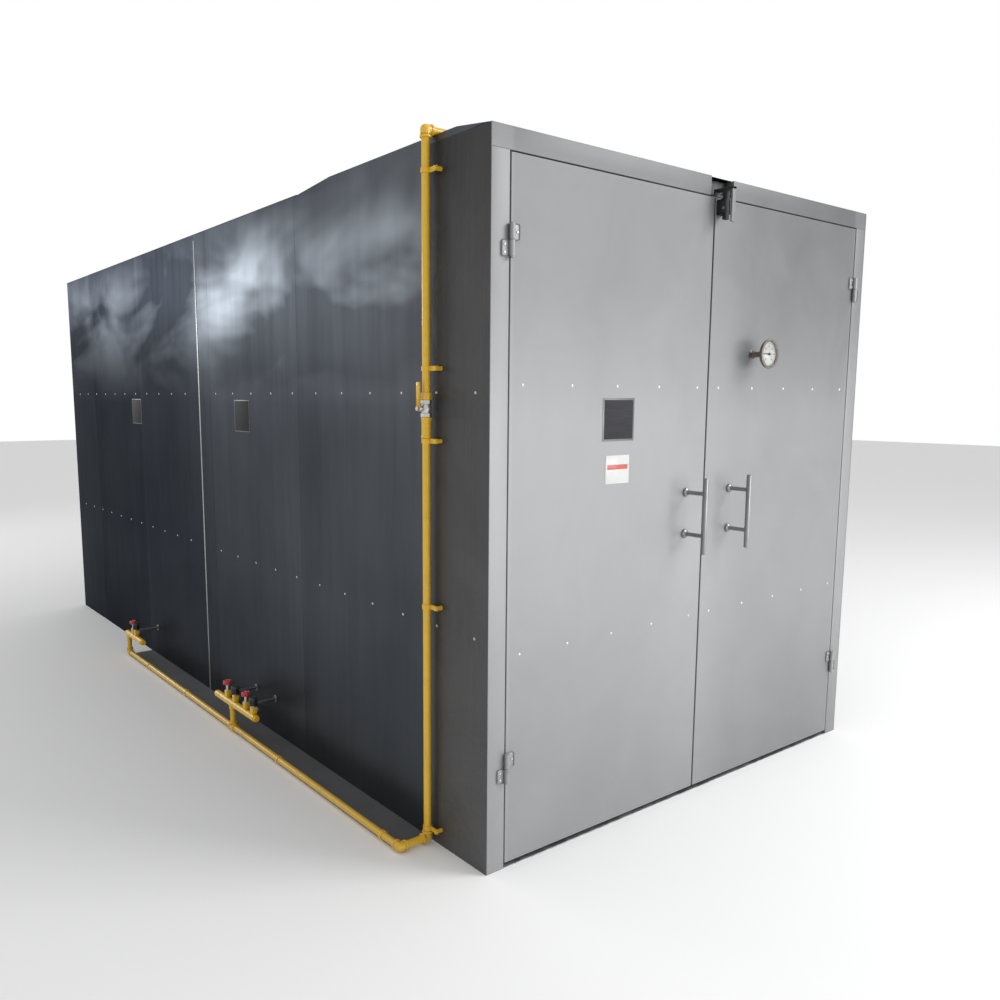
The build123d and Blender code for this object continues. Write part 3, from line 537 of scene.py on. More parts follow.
# ---- Door leaves ----
# Each leaf is a folded pan filled with wool, with its inner sheet behind. Black silicone
# seals run round the leaves and down the seam.

dress("left_door_pan", silver_finish)
dress("right_door_pan", silver_finish)
seal = Finish("seal")
seal_grain = seal.noise(500.0, 4.0, 0.7)
chalk = seal.noise(14.0, 4.0, 0.6)
seal_finish = seal.paint(seal.blend(chalk, (0.012, 0.012, 0.013), (0.05, 0.05, 0.052)),
                         0.6 + seal_grain * 0.25, seal_grain, 0.0005)
for name in ("left_door_gasket", "right_door_gasket", "meeting_gasket"):
    dress(name, seal_finish)

# ---- Rivets ----
# Aluminium pop rivets with low domed heads hold the wall sheets to their rails and the
# door skins to the ribs behind them.


def turned(rings, centre, axis="Z", sides=32):
    """A lathe-turned piece from (radius, height) rings, its foot at centre."""
    clear()
    radius, height = rings[0]
    bpy.ops.mesh.primitive_circle_add(vertices=sides, radius=radius, fill_type="NGON",
                                      location=(0, 0, height))
    made = bpy.context.object
    apply_place(made)
    bpy.ops.object.mode_set(mode="EDIT")
    bpy.ops.mesh.select_all(action="SELECT")
    for next_radius, next_height in rings[1:]:
        bpy.ops.mesh.extrude_region_move(TRANSFORM_OT_translate={"value": (0, 0, next_height - height)})
        share = next_radius / radius
        bpy.ops.transform.resize(value=(share, share, 1.0), center_override=(0, 0, next_height))
        radius, height = next_radius, next_height
    bpy.ops.mesh.select_all(action="SELECT")
    bpy.ops.mesh.normals_make_consistent(inside=False)
    bpy.ops.object.mode_set(mode="OBJECT")
    smooth(made)
    made.rotation_euler = {"X": (0, math.pi / 2, 0), "Y": (-math.pi / 2, 0, 0), "Z": (0, 0, 0)}[axis]
    made.location = centre
    return apply_place(made)


def set_out(model, places):
    """Copies of a model that faces +Z, one at each (place, direction); the model goes."""
    copies = []
    for place, direction in places:
        twin = model.copy()
        twin.data = model.data.copy()
        bpy.context.scene.collection.objects.link(twin)
        turn = Vector(direction).to_track_quat("Z", "Y").to_matrix().to_4x4()
        twin.matrix_world = Matrix.Translation(place) @ turn
        copies.append(twin)
    bpy.data.objects.remove(model)
    bpy.context.view_layer.update()
    for twin in copies:
        apply_place(twin)
    return joined(copies)


def rivet_head(radius=0.0052, height=0.002):
    return turned([(radius, 0), (radius * 0.97, height * 0.35), (radius * 0.8, height * 0.68),
                   (radius * 0.5, height * 0.9), (radius * 0.3, height), (radius * 0.26, height * 0.8)],
                  (0, 0, 0), sides=14)


def screw_head(radius=0.004, height=0.003):
    """A domed head with a driving slot."""
    head = turned([(radius, 0), (radius, height * 0.45), (radius * 0.82, height * 0.8),
                   (radius * 0.4, height)], (0, 0, 0), sides=16)
    slot = bar((-radius * 1.1, -radius * 0.14, height * 0.55), (radius * 1.1, radius * 0.14, height * 1.2))
    finish_mesh(head, ("BOOLEAN", {"operation": "DIFFERENCE", "object": slot, "solver": "EXACT"}))
    bpy.data.objects.remove(slot)
    return head


zinc_plate = Finish("zinc_fastener", metallic=0.9)
zinc_specks = zinc_plate.noise(300.0, 3.0, 0.6)
zinc_age = zinc_plate.noise(3.0, 3.0, 0.6)
zinc_plate_colour = zinc_plate.blend(zinc_age, (0.42, 0.42, 0.44), (0.72, 0.72, 0.72))
fastener_finish = zinc_plate.paint(zinc_plate_colour, zinc_specks * 0.25 + 0.25, zinc_specks, 0.0002)

door_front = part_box("left_door_pan")[0].y
wall_rivets = []
post_screws = []
for low, high in solids_of("shell_fasteners"):
    middle = (low + high) / 2
    size = high - low
    if size.x < 0.003:
        direction = (-1, 0, 0) if middle.x < 0 else (1, 0, 0)
        foot = Vector((high.x if middle.x < 0 else low.x, middle.y, middle.z))
        wall_rivets.append((foot, direction))
    elif middle.y > 0:
        wall_rivets.append((Vector((middle.x, low.y, middle.z)), (0, 1, 0)))
    else:
        post_screws.append((Vector((middle.x, high.y, middle.z)), (0, -1, 0)))
settle(set_out(rivet_head(), wall_rivets), "wall_rivets", "oven_body", ["shell_fasteners"],
       fastener_finish)
settle(set_out(screw_head(), post_screws), "post_hinge_screws", "oven_body", ["shell_fasteners"],
       fastener_finish)
for side in ("left", "right"):
    rivets = []
    screws = []
    for low, high in solids_of(f"{side}_door_fasteners"):
        middle = (low + high) / 2
        spot = (Vector((middle.x, high.y, middle.z)), (0, -1, 0))
        (rivets if high.y > door_front - 0.001 else screws).append(spot)
    settle(set_out(rivet_head(), rivets), f"{side}_door_rivets", f"{side}_door",
           [f"{side}_door_fasteners"], fastener_finish)
    settle(set_out(screw_head(), screws), f"{side}_door_screws", f"{side}_door",
           [f"{side}_door_fasteners"], fastener_finish)

# ---- Blank plates ----
# Thin anodised plates with a grey rim are fixed to the left door and the left wall, and a
# small enamel label sits below the one on the door. They carry no marks.

plate_dark = Finish("plate_dark", metallic=0.2)
plate_dark.shader.inputs["Specular IOR Level"].default_value = 0.1
plate_grain = plate_dark.noise(300.0, 3.0, 0.6, at=plate_dark.stretched(0.04, 0.04, 1.0))
plate_dark_finish = plate_dark.paint(plate_dark.blend(plate_grain, (0.02, 0.02, 0.024), (0.06, 0.06, 0.066)),
                                     plate_grain * 0.2 + 0.5, plate_grain, 0.0001)
plate_rim = Finish("plate_rim", metallic=0.7)
rim_grain = plate_rim.noise(200.0, 3.0, 0.6)
plate_rim_finish = plate_rim.paint(plate_rim.blend(rim_grain, (0.12, 0.12, 0.125), (0.22, 0.22, 0.225)),
                                   rim_grain * 0.2 + 0.3, rim_grain, 0.0001)
label = Finish("label_enamel", coat=0.3)
label_speck = label.noise(160.0, 4.0, 0.6)
label_pale = label.paint(label.blend(label_speck, (0.50, 0.50, 0.49), (0.62, 0.62, 0.61)),
                         label_speck * 0.1 + 0.35, label_speck, 0.0001)
label_band = Finish("label_band", coat=0.3)
band_speck = label_band.noise(160.0, 4.0, 0.6)
label_band_finish = label_band.paint(label_band.blend(band_speck, (0.42, 0.06, 0.05), (0.55, 0.11, 0.09)),
                                     band_speck * 0.1 + 0.35, band_speck, 0.0001)

plate_thickness = 0.0012
plate_low = Vector((-0.575, door_front - plate_thickness, 1.435))
plate_high = Vector((-0.415, door_front, 1.585))
rim_piece = paint_piece(bar(plate_low, plate_high, 0.0004, 2), plate_rim_finish)
rim_width = Vector((0.007, 0.0004, 0.007))
field = paint_piece(bar(plate_low + rim_width * Vector((1, -1, 1)),
                        plate_high - rim_width * Vector((1, 1, 1)), 0.0003, 2), plate_dark_finish)
settle(joined([rim_piece, field]), "door_plate", "left_door")
label_low = Vector((-0.555, door_front - plate_thickness, 1.285))
label_high = Vector((-0.435, door_front, 1.385))
card = paint_piece(bar(label_low, label_high, 0.0004, 2), label_pale)
band_low = Vector((label_low.x + 0.008, label_low.y - 0.0003, 1.335))
band_high = Vector((label_high.x - 0.008, label_low.y + 0.0003, 1.352))
settle(joined([card, paint_piece(bar(band_low, band_high, 0.0001, 2), label_band_finish)]), "door_label",
       "left_door")
for count, centre in enumerate(wall_plate_centres, 1):
    wall_low = centre - Vector((plate_thickness, 0.085, 0.075))
    wall_high = centre + Vector((0.001, 0.085, 0.075))
    rim_piece = paint_piece(bar(wall_low, wall_high, 0.0004, 2), plate_rim_finish)
    low = wall_low + Vector((-0.0004, 0.004, 0.004))
    high = wall_high - Vector((0.0004, 0.004, 0.004))
    field = paint_piece(bar(low, high, 0.0003, 2), plate_dark_finish)
    settle(joined([rim_piece, field]), f"wall_plate_{count}", "oven_body")

# ---- Hinges ----
# Four lift-off hinges: a leaf with half a barrel on the door drops over the pin of a leaf on
# the post. They are stamped from steel, screwed on, and painted to match the doors.


def plate(low, high, thin_axis, corner, radius=0.0006):
    """A flat plate between two corners, with its outline's corners and its edges rounded."""
    made = bar(low, high)
    pick(made)
    bpy.ops.object.mode_set(mode="EDIT")
    bpy.ops.mesh.select_all(action="DESELECT")
    bpy.ops.object.mode_set(mode="OBJECT")
    for edge in made.data.edges:
        ends = [made.data.vertices[index].co for index in edge.vertices]
        along = ends[1] - ends[0]
        edge.select = abs(along[thin_axis]) > along.length * 0.99
    bpy.ops.object.mode_set(mode="EDIT")
    bpy.ops.mesh.bevel(offset=corner, segments=5)
    bpy.ops.object.mode_set(mode="OBJECT")
    return round_edges(made, radius, 2)


hinge_paint = Finish("hinge_paint", metallic=0.3, coat=0.15)
hinge_wear = hinge_paint.noise(60.0, 5.0, 0.7)
hinge_rub = hinge_paint.steps(hinge_paint.noise(25.0, 4.0, 0.7), (0.55, 0.0), (0.7, 1.0))
hinge_finish = hinge_paint.paint(hinge_paint.blend(hinge_rub * 0.6, (0.30, 0.303, 0.307),
                                                   (0.17, 0.165, 0.16)), hinge_wear * 0.2 + 0.34,
                                 hinge_wear, 0.0003)
hinge_places = {"left": Vector(), "right": Vector()}
for joint in frame["joints"]:
    if joint["name"] in ("left_door_swing", "right_door_swing"):
        hinge_places[joint["name"].split("_")[0]] = Vector(joint["pos_m"])
barrel_radius = 0.009
leaf_thickness = 0.003


def hinge_half(low, high, line):
    """A leaf and its half of the barrel; line is the hinge's own place."""
    inboard = 0.0015
    left = (low.x + high.x) / 2 < line.x
    ends = (low.x, line.x - inboard) if left else (line.x + inboard, high.x)
    leaf = plate((ends[0], high.y - leaf_thickness, low.z), (ends[1], high.y, high.z), 1, 0.006)
    tall = high.z - low.z
    barrel = turned([(barrel_radius - 0.001, 0), (barrel_radius, 0.001), (barrel_radius, tall - 0.001),
                     (barrel_radius - 0.001, tall)], (line.x, line.y, low.z))
    neck = bar((min(line.x, ends[0] if not left else ends[1]) - 0.001, line.y, low.z + 0.001),
               (max(line.x, ends[0] if not left else ends[1]) + 0.001, high.y, high.z - 0.001), 0.0006, 2)
    return joined([leaf, barrel, neck])


for side, line in hinge_places.items():
    halves = [hinge_half(low, high, line) for low, high in solids_of(f"{side}_hinge_door_leaves")]
    settle(joined(halves), f"{side}_door_hinge_halves", f"{side}_door", [f"{side}_hinge_door_leaves"],
           hinge_finish)
halves = []
for low, high in solids_of("hinge_frame_leaves"):
    halves.append(hinge_half(low, high, hinge_places["left" if low.x < 0 else "right"]))
settle(joined(halves), "post_hinge_halves", "oven_body", ["hinge_frame_leaves"], hinge_finish)
pins = []
for low, high in solids_of("hinge_pins"):
    line = hinge_places["left" if low.x < 0 else "right"]
    tall = high.z - low.z
    pins.append(turned([(0.002, -0.004), (0.005, -0.003), (0.0062, -0.0012), (0.0062, 0), (0.005, 0.0002),
                        (0.005, tall - 0.001), (0.003, tall)], (line.x, line.y, low.z), sides=20))
settle(joined(pins), "hinge_pin_set", "oven_body", ["hinge_pins"], bare_finish)

# ---- Pull handles ----
# A round steel bar stands off each door on two turned posts with wide feet. The bars are
# brushed, and worn smooth where hands take hold.

pull_steel = Finish("handle_steel", metallic=0.85)
pull_grain = pull_steel.noise(350.0, 3.0, 0.6, at=pull_steel.stretched(1.0, 1.0, 0.05))
pull_rub = pull_steel.noise(18.0, 4.0, 0.6)
pull_colour = pull_steel.blend(pull_rub, (0.20, 0.205, 0.21), (0.36, 0.36, 0.365))
pull_finish = pull_steel.paint(pull_colour, pull_grain * 0.2 + pull_rub * 0.15 + 0.2, pull_grain, 0.0002)
grip_radius = 0.010
for side in ("left", "right"):
    low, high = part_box(f"{side}_handle")
    x = (low.x + high.x) / 2
    tall = high.z - low.z
    reach = high.y - (low.y + grip_radius)
    grip = turned([(0.004, 0), (0.0075, 0.0006), (0.0093, 0.0022), (grip_radius, 0.005),
                   (grip_radius, tall - 0.005), (0.0093, tall - 0.0022), (0.0075, tall - 0.0006),
                   (0.004, tall)], (x, low.y + grip_radius, low.z))
    pieces = [grip]
    for height in (0.07, 0.23):
        pieces.append(turned([(0.017, 0), (0.017, -0.005), (0.0158, -0.0078), (0.0125, -0.0095),
                              (0.0092, -0.0115), (0.0078, -0.015), (0.0078, -reach + 0.016),
                              (0.0092, -reach + 0.010), (0.0095, -reach + 0.003)],
                             (x, high.y, low.z + height), "Y"))
    settle(joined(pieces), f"{side}_pull_bar", f"{side}_door", [f"{side}_handle"],
           pull_finish)

# ---- Dial thermometer ----
# A bimetal dial stands off the right door on its stem, with a hexagon gland at the door.
# The case is bronze enamel, the dial white with a printed scale, under a domed glass.

bronze = Finish("bronze_rim", metallic=0.6, coat=0.4)
bronze_age = bronze.noise(70.0, 5.0, 0.65)
bronze_finish = bronze.paint(bronze.blend(bronze_age, (0.10, 0.085, 0.07), (0.24, 0.21, 0.18)),
                             bronze_age * 0.2 + 0.22, bronze_age, 0.0003)
low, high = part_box("thermometer_case")
centre = Vector(((low.x + high.x) / 2, low.y, (low.z + high.z) / 2))
case_radius = (high.x - low.x) / 2
deep = high.y - low.y
inside = case_radius - 0.0095
case = turned([(case_radius * 0.6, deep), (case_radius - 0.004, deep - 0.0004),
               (case_radius - 0.002, deep - 0.003), (case_radius - 0.002, 0.009), (case_radius, 0.008),
               (case_radius, 0.0022), (case_radius - 0.0009, 0.0006), (case_radius - 0.0026, 0.0),
               (inside + 0.0008, 0.0006), (inside, 0.0022), (inside, deep - 0.004)], centre, "Y", 72)
settle(case, "dial_case", "right_door", ["thermometer_case"], bronze_finish)

face_white = Finish("dial_white")
paper = face_white.noise(240.0, 3.0, 0.6)
yellowed = face_white.noise(18.0, 3.0, 0.6)
face_finish = face_white.paint(face_white.blend(yellowed, (0.86, 0.86, 0.84), (0.78, 0.77, 0.72)),
                               paper * 0.1 + 0.4, paper, 0.0001)
ink = Finish("dial_print")
ink_speck = ink.noise(300.0, 3.0, 0.6)
ink_finish = ink.paint(ink.blend(ink_speck, (0.01, 0.01, 0.012), (0.04, 0.04, 0.045)), ink_speck * 0.2 + 0.4)
face_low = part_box("thermometer_dial")[0]
face_place = Vector((centre.x, face_low.y, centre.z))
face_disc = turned([(inside - 0.0002, 0.002), (inside - 0.0002, 0.0006), (inside - 0.0012, 0.0),
                    (0.0105, 0.0), (0.010, 0.0004)], face_place, "Y", 72)
settle(face_disc, "dial_face", "right_door", ["thermometer_dial"], face_finish)

print_height = 0.00015
first_angle = -45.0
sweep = 270.0
marks = []
for step in range(31):
    angle = math.radians(first_angle + sweep * step / 30)
    major = step % 5 == 0
    inner = inside - (0.012 if major else 0.0085)
    half_wide = 0.0007 if major else 0.0003
    mark = bar((inner, -print_height, -half_wide), (inside - 0.004, 0.0, half_wide))
    mark.matrix_world = Matrix.Translation(face_place) @ Matrix.Rotation(math.pi + angle, 4, "Y")
    marks.append(apply_place(mark))
    if major:
        clear()
        bpy.ops.object.text_add()
        figure = bpy.context.object
        figure.data.body = str(step * 10)
        figure.data.size = 0.0085
        figure.data.align_x = "CENTER"
        figure.data.align_y = "CENTER"
        pick(figure)
        bpy.ops.object.convert(target="MESH")
        figure = bpy.context.object
        reach = inside - 0.0185
        figure.matrix_world = (Matrix.Translation(face_place + Vector((-math.cos(angle) * reach,
                                                                       -print_height,
                                                                       math.sin(angle) * reach)))
                               @ Matrix.Rotation(math.pi / 2, 4, "X"))
        apply_place(figure)
        finish_mesh(figure, ("SOLIDIFY", {"thickness": print_height, "offset": -1.0}))
        marks.append(figure)
settle(joined(marks), "dial_scale", "right_door", ["thermometer_dial"], ink_finish)

low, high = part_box("thermometer_needle")
needle_y = face_low.y - 0.0045
pointer = bar((low.x, needle_y, centre.z - 0.0024), (centre.x + 0.011, needle_y + 0.001, centre.z + 0.0024))
pick(pointer)
bpy.ops.object.mode_set(mode="EDIT")
bpy.ops.mesh.select_mode(type="VERT")
bpy.ops.mesh.select_all(action="DESELECT")
bpy.ops.object.mode_set(mode="OBJECT")
for vertex in pointer.data.vertices:
    vertex.select = vertex.co.x < centre.x - 0.02
bpy.ops.object.mode_set(mode="EDIT")
bpy.ops.transform.resize(value=(1.0, 0.6, 0.16), center_override=(low.x, needle_y, centre.z))
bpy.ops.object.mode_set(mode="OBJECT")
hub = turned([(0.0018, deep - 0.0018), (0.0018, deep - 0.0072), (0.0050, deep - 0.0072),
              (0.0050, deep - 0.0096), (0.0040, deep - 0.0104), (0.0015, deep - 0.0105)], centre, "Y", 24)
settle(joined([pointer, hub]), "dial_needle", "thermometer_needle", ["thermometer_needle"],
       ink_finish)

glass = Finish("lens")
glass.shader.inputs["Transmission Weight"].default_value = 1.0
glass.shader.inputs["IOR"].default_value = 1.45
smudge = glass.noise(40.0, 4.0, 0.6)
glass_finish = glass.paint((0.97, 0.98, 0.98), smudge * 0.05)
low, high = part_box("thermometer_lens")
crown = low.y - centre.y
lens = turned([(inside - 0.0002, crown + 0.002), (inside - 0.0002, crown + 0.0008),
               (inside * 0.8, crown + 0.0004), (inside * 0.5, crown + 0.0001), (inside * 0.15, crown)],
              centre, "Y", 72)
settle(lens, "dial_glass", "right_door", ["thermometer_lens"], glass_finish)

low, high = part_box("thermometer_stem")
across_flats = 0.015
gland = turned([(across_flats * 0.93, -0.012), (across_flats, -0.011), (across_flats, -0.001),
                (across_flats * 0.93, 0)], (centre.x, door_front, centre.z), "Y", 6)
washer = turned([(0.0195, 0), (0.0195, -0.0012), (0.018, -0.0018)], (centre.x, door_front, centre.z), "Y", 40)
stem = turned([(0.0115, 0), (0.0115, door_front - low.y - 0.014), (0.0120, door_front - low.y - 0.012),
               (0.0120, door_front - low.y - 0.004), (0.006, door_front - low.y - 0.002),
               (0.006, high.y - low.y - 0.002), (0.003, high.y - low.y)], (centre.x, low.y, centre.z),
              "Y", 32)
settle(joined([stem, gland, washer]), "dial_stem", "right_door", ["thermometer_stem"], bronze_finish)

# ---- Latch ----
# A black steel hook rocks on a pin in a small bracket at the head of the right door. Its front
# leg is painted silver, and its tooth reaches back towards the keeper in the door frame.

black_steel = Finish("black_steel", metallic=0.5)
black_rub = black_steel.noise(45.0, 5.0, 0.7)
black_steel_finish = black_steel.paint(black_steel.blend(black_rub, (0.012, 0.012, 0.014),
                                                         (0.06, 0.06, 0.063)), black_rub * 0.3 + 0.35,
                                       black_rub, 0.0004)
latch_low, latch_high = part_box("latch_hook")
latch_pivot = next(Vector(joint["pos_m"]) for joint in frame["joints"] if joint["name"] == "latch_rock")
arch = 0.010
arm_half = 0.008
tooth = 0.007
arch_bar = bar((latch_low.x, latch_low.y, latch_high.z - arch), latch_high)
arm_bar = bar((latch_low.x, latch_pivot.y - arm_half, latch_low.z + 0.012),
              (latch_high.x, latch_pivot.y + arm_half, latch_high.z - 0.001))
tooth_bar = bar((latch_low.x, latch_high.y - tooth, latch_high.z - arch - 0.009),
                (latch_high.x, latch_high.y, latch_high.z - 0.001))
front_leg = bar(latch_low, (latch_high.x, latch_low.y + 0.007, latch_high.z - 0.001))
hook = paint_piece(round_edges(fused([arch_bar, arm_bar, tooth_bar]), 0.0018, 4), black_steel_finish)
leg = paint_piece(round_edges(front_leg, 0.0018, 4), silver_finish)
settle(joined([hook, leg]), "latch_arm", "latch_hook", ["latch_hook"])
low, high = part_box("latch_bracket")
cheek = 0.003
sides = [plate((x, low.y, low.z), (x + cheek, high.y, high.z), 0, 0.006)
         for x in (low.x, high.x - cheek)]
sides.append(bar((low.x, high.y - cheek, low.z), (high.x, high.y, high.z), 0.0006, 2))
settle(joined(sides), "latch_cheeks", "right_door", ["latch_bracket"], black_steel_finish)
low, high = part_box("latch_pin")
wide = high.x - low.x
pivot_pin = turned([(0.0035, 0), (0.006, 0.0006), (0.006, 0.0028), (0.004, 0.003), (0.004, wide - 0.003),
                    (0.006, wide - 0.0028), (0.006, wide - 0.0006), (0.0035, wide)],
                   (low.x, latch_pivot.y, latch_pivot.z), "X", 24)
settle(pivot_pin, "latch_pivot_pin", "right_door", ["latch_pin"], bare_finish)

# ---- Gas pipework ----
# Threaded steel gas pipe painted yellow: a riser up the collar, a run over the roof to the
# inlet, and a run along the floor. Fittings have a raised band at each socket. The thin pipes
# to the burners are bare steel tinted by heat.

yellow = Finish("gas_yellow", coat=0.35)
brushed = yellow.noise(38.0, 4.0, 0.6)
grime = yellow.steps(yellow.noise(7.0, 6.0, 0.72, twist=0.6), (0.52, 0.0), (0.78, 1.0))
low_dirt = yellow.steps(yellow.axis("Z") * 4.0, (0.0, 1.0), (0.6, 0.0))
soil = grime * 0.35 + low_dirt * brushed * 0.5
yellow_colour = yellow.blend(soil, yellow.blend(brushed, (0.74, 0.43, 0.012), (0.83, 0.52, 0.03)),
                             (0.30, 0.19, 0.04))
yellow_finish = yellow.paint(yellow_colour, soil * 0.3 + brushed * 0.12 + 0.26, brushed, 0.0004)
for name in ("gas_pipes", "burner_manifolds", "pipe_clips"):
    dress(name, yellow_finish)
dress("burner_feed_pipes", hot_finish)
tray_steel = Finish("tray_steel", metallic=0.5)
tray_clouds = tray_steel.noise(6.0, 5.0, 0.65)
tray_dust = tray_steel.noise(45.0, 4.0, 0.7)
tray_finish = tray_steel.paint(tray_steel.blend(tray_clouds * 0.6 + tray_dust * 0.4, (0.10, 0.10, 0.105),
                                                (0.24, 0.24, 0.24)), tray_dust * 0.2 + 0.4, tray_dust, 0.0006)
dress("pipe_tray", tray_finish)

fitting_radius = 0.017
socket_reach = 0.026


def solid_near(node_name, place):
    """The corners of the node's solid whose middle is nearest to a place."""
    place = Vector(place)
    return min(solids_of(node_name), key=lambda box: ((box[0] + box[1]) / 2 - place).length)


def socket_band(corner, direction):
    """A socket of a fitting, from near its corner out to the raised band at its mouth."""
    model = turned([(fitting_radius - 0.001, socket_reach * 0.5), (fitting_radius, socket_reach * 0.55),
                    (fitting_radius, socket_reach - 0.009), (fitting_radius + 0.002, socket_reach - 0.008),
                    (fitting_radius + 0.002, socket_reach - 0.001), (fitting_radius + 0.001, socket_reach),
                    (0.0140, socket_reach)], (0, 0, 0), sides=28)
    model.matrix_world = (Matrix.Translation(corner)
                          @ Vector(direction).to_track_quat("Z", "Y").to_matrix().to_4x4())
    return apply_place(model)


def elbow(corner, first, second):
    """A cast elbow: two sockets that meet in a rounded corner."""
    corner = Vector(corner)
    stubs = []
    for direction in (first, second):
        stub = turned([(fitting_radius, 0), (fitting_radius, socket_reach * 0.7)], (0, 0, 0), sides=28)
        stub.matrix_world = (Matrix.Translation(corner)
                             @ Vector(direction).to_track_quat("Z", "Y").to_matrix().to_4x4())
        stubs.append(apply_place(stub))
    rings = [(fitting_radius * math.cos(angle), fitting_radius * math.sin(angle))
             for angle in (math.radians(step) for step in range(-80, 81, 20))]
    knuckle = turned(rings, corner, sides=28)
    body = smooth(fused([knuckle] + stubs))
    return joined([body, socket_band(corner, first), socket_band(corner, second)])


def tee(corner, directions):
    """Sockets along the run and one for the branch, round a plain middle."""
    reach = socket_reach * 0.7
    middle = turned([(fitting_radius, -reach), (fitting_radius, reach)], corner, "Y", 28)
    branch = turned([(fitting_radius, 0), (fitting_radius, reach)], corner, "Z", 28)
    return joined([fused([middle, branch])] + [socket_band(corner, direction) for direction in directions])


def joint_place(name):
    return next(Vector(joint["pos_m"]) for joint in frame["joints"] if joint["name"] == name)


valve_place = joint_place("ball_valve_turn")
riser_x = valve_place.x + 0.0325
riser_y = valve_place.y
low, high = solid_near("gas_fittings", (riser_x, riser_y, 2.44))
roof_corner = Vector((riser_x, riser_y, high.z - fitting_radius))
low, high = solid_near("gas_fittings", (riser_x, riser_y, 0.03))
floor_z = low.z + fitting_radius
header_low, header_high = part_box("burner_manifolds")
floor_x = (header_low.x + header_high.x) / 2
east, west = Vector((1, 0, 0)), Vector((-1, 0, 0))
north, south = Vector((0, 1, 0)), Vector((0, -1, 0))
up, down = Vector((0, 0, 1)), Vector((0, 0, -1))
floor_fittings = sorted(low.y + fitting_radius for low, high in solids_of("gas_fittings")
                        if abs((low.x + high.x) / 2 - floor_x) < 0.003)
front_tee_y = floor_fittings[0] + socket_reach - fitting_radius
rear_y = solid_near("gas_fittings", (floor_x, 1.2, 0.03))[1].y - fitting_radius
inlet_low, inlet_high = solid_near("gas_fittings", (1.1, riser_y, roof_corner.z))
fittings = [
    elbow(roof_corner, down, east),
    elbow((riser_x, riser_y, floor_z), up, west),
    elbow((floor_x, riser_y, floor_z), east, north),
    tee((floor_x, front_tee_y, floor_z), (north, south, up)),
    elbow((floor_x, rear_y, floor_z), south, up),
]
inlet_length = inlet_high.x - inlet_low.x
fittings.append(turned([(fitting_radius - 0.001, 0), (fitting_radius + 0.001, 0.001),
                        (fitting_radius + 0.001, 0.008), (fitting_radius - 0.001, 0.010),
                        (fitting_radius - 0.001, inlet_length - 0.010),
                        (fitting_radius + 0.001, inlet_length - 0.008),
                        (fitting_radius + 0.001, inlet_length - 0.001),
                        (fitting_radius - 0.001, inlet_length)], (inlet_low.x, riser_y, roof_corner.z),
                       "X"))
coupling_low, coupling_high = solid_near("gas_fittings", (riser_x, riser_y, 1.48))
coupling_tall = coupling_high.z - coupling_low.z
fittings.append(turned([(0.0150, 0), (0.0178, 0.001), (0.0178, 0.010), (0.0162, 0.012),
                        (0.0162, coupling_tall - 0.012), (0.0178, coupling_tall - 0.010),
                        (0.0178, coupling_tall - 0.001), (0.0160, coupling_tall)],
                       (riser_x, riser_y, coupling_low.z)))
nut_low, nut_high = solid_near("gas_fittings", (riser_x, riser_y, 1.59))
nut_tall = nut_high.z - nut_low.z
fittings.append(turned([(0.0172, 0), (0.0188, 0.0016), (0.0188, nut_tall - 0.0016), (0.0172, nut_tall)],
                       (riser_x, riser_y, nut_low.z), sides=6))
settle(joined(fittings), "pipe_fittings", "oven_body", ["gas_fittings"], yellow_finish)

bolts = []
for low, high in solids_of("pipe_clips"):
    middle = (low + high) / 2
    if middle.z > 0.04:
        bolts.append((Vector((riser_x + 0.004, low.y + 0.008, middle.z)), (-1, 0, 0)))
    else:
        bolts.append((Vector((high.x - 0.008, middle.y, low.z + 0.003)), (0, 0, 1)))
bolt = turned([(0.0062, 0), (0.0062, 0.0030), (0.0054, 0.0040), (0.0030, 0.0042)], (0, 0, 0), sides=6)
settle(set_out(bolt, bolts), "clip_bolts", "oven_body", material=yellow_finish)

collars = []
for low, high in solids_of("burner_feed_pipes"):
    collars.append((Vector((left_wall, (low.y + high.y) / 2, (low.z + high.z) / 2)), (-1, 0, 0)))
escutcheon = turned([(0.018, 0), (0.018, 0.0015), (0.016, 0.0028), (0.0105, 0.0036), (0.0085, 0.0036)],
                    (0, 0, 0))
settle(set_out(escutcheon, collars), "feed_pipe_collars", "oven_body", material=hot_finish)

# ---- Ball valve ----
# A nickel-plated ball valve shuts off the riser. Its body has a hexagon at each end, and a
# pressed lever, painted with the pipe, turns through a quarter.

nickel = Finish("nickel", metallic=0.95)
nickel_cast = nickel.noise(180.0, 4.0, 0.6)
nickel_haze = nickel.noise(22.0, 4.0, 0.6)
nickel_finish = nickel.paint(nickel.blend(nickel_haze, (0.52, 0.51, 0.48), (0.78, 0.77, 0.75)),
                             nickel_haze * 0.2 + nickel_cast * 0.1 + 0.16, nickel_cast, 0.0003)
low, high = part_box("ball_valve_body")
tall = high.z - low.z
body_rings = [(0.0150, 0.014), (0.0165, 0.017), (0.0182, 0.022), (0.0190, 0.029), (0.0182, 0.036),
              (0.0165, 0.041), (0.0150, 0.044)]
hexes = [turned([(0.0170, start), (0.0189, start + 0.0015), (0.0189, start + 0.0125),
                 (0.0170, start + 0.014)], (riser_x, riser_y, low.z), sides=6)
         for start in (0.0, tall - 0.014)]
bulge = turned(body_rings, (riser_x, riser_y, low.z))
bonnet = turned([(0.0100, -0.010), (0.0100, -0.027), (0.0085, -0.030), (0.0048, -0.030),
                 (0.0048, low.x - riser_x)], (riser_x, riser_y, valve_place.z), "X", 24)
lever_low, lever_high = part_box("ball_valve_lever")
stem_nut = turned([(0.0085, lever_low.x - riser_x - 0.0002), (0.0085, lever_low.x - riser_x - 0.0042),
                   (0.0075, lever_low.x - riser_x - 0.0050)], (riser_x, riser_y, valve_place.z), "X", 6)
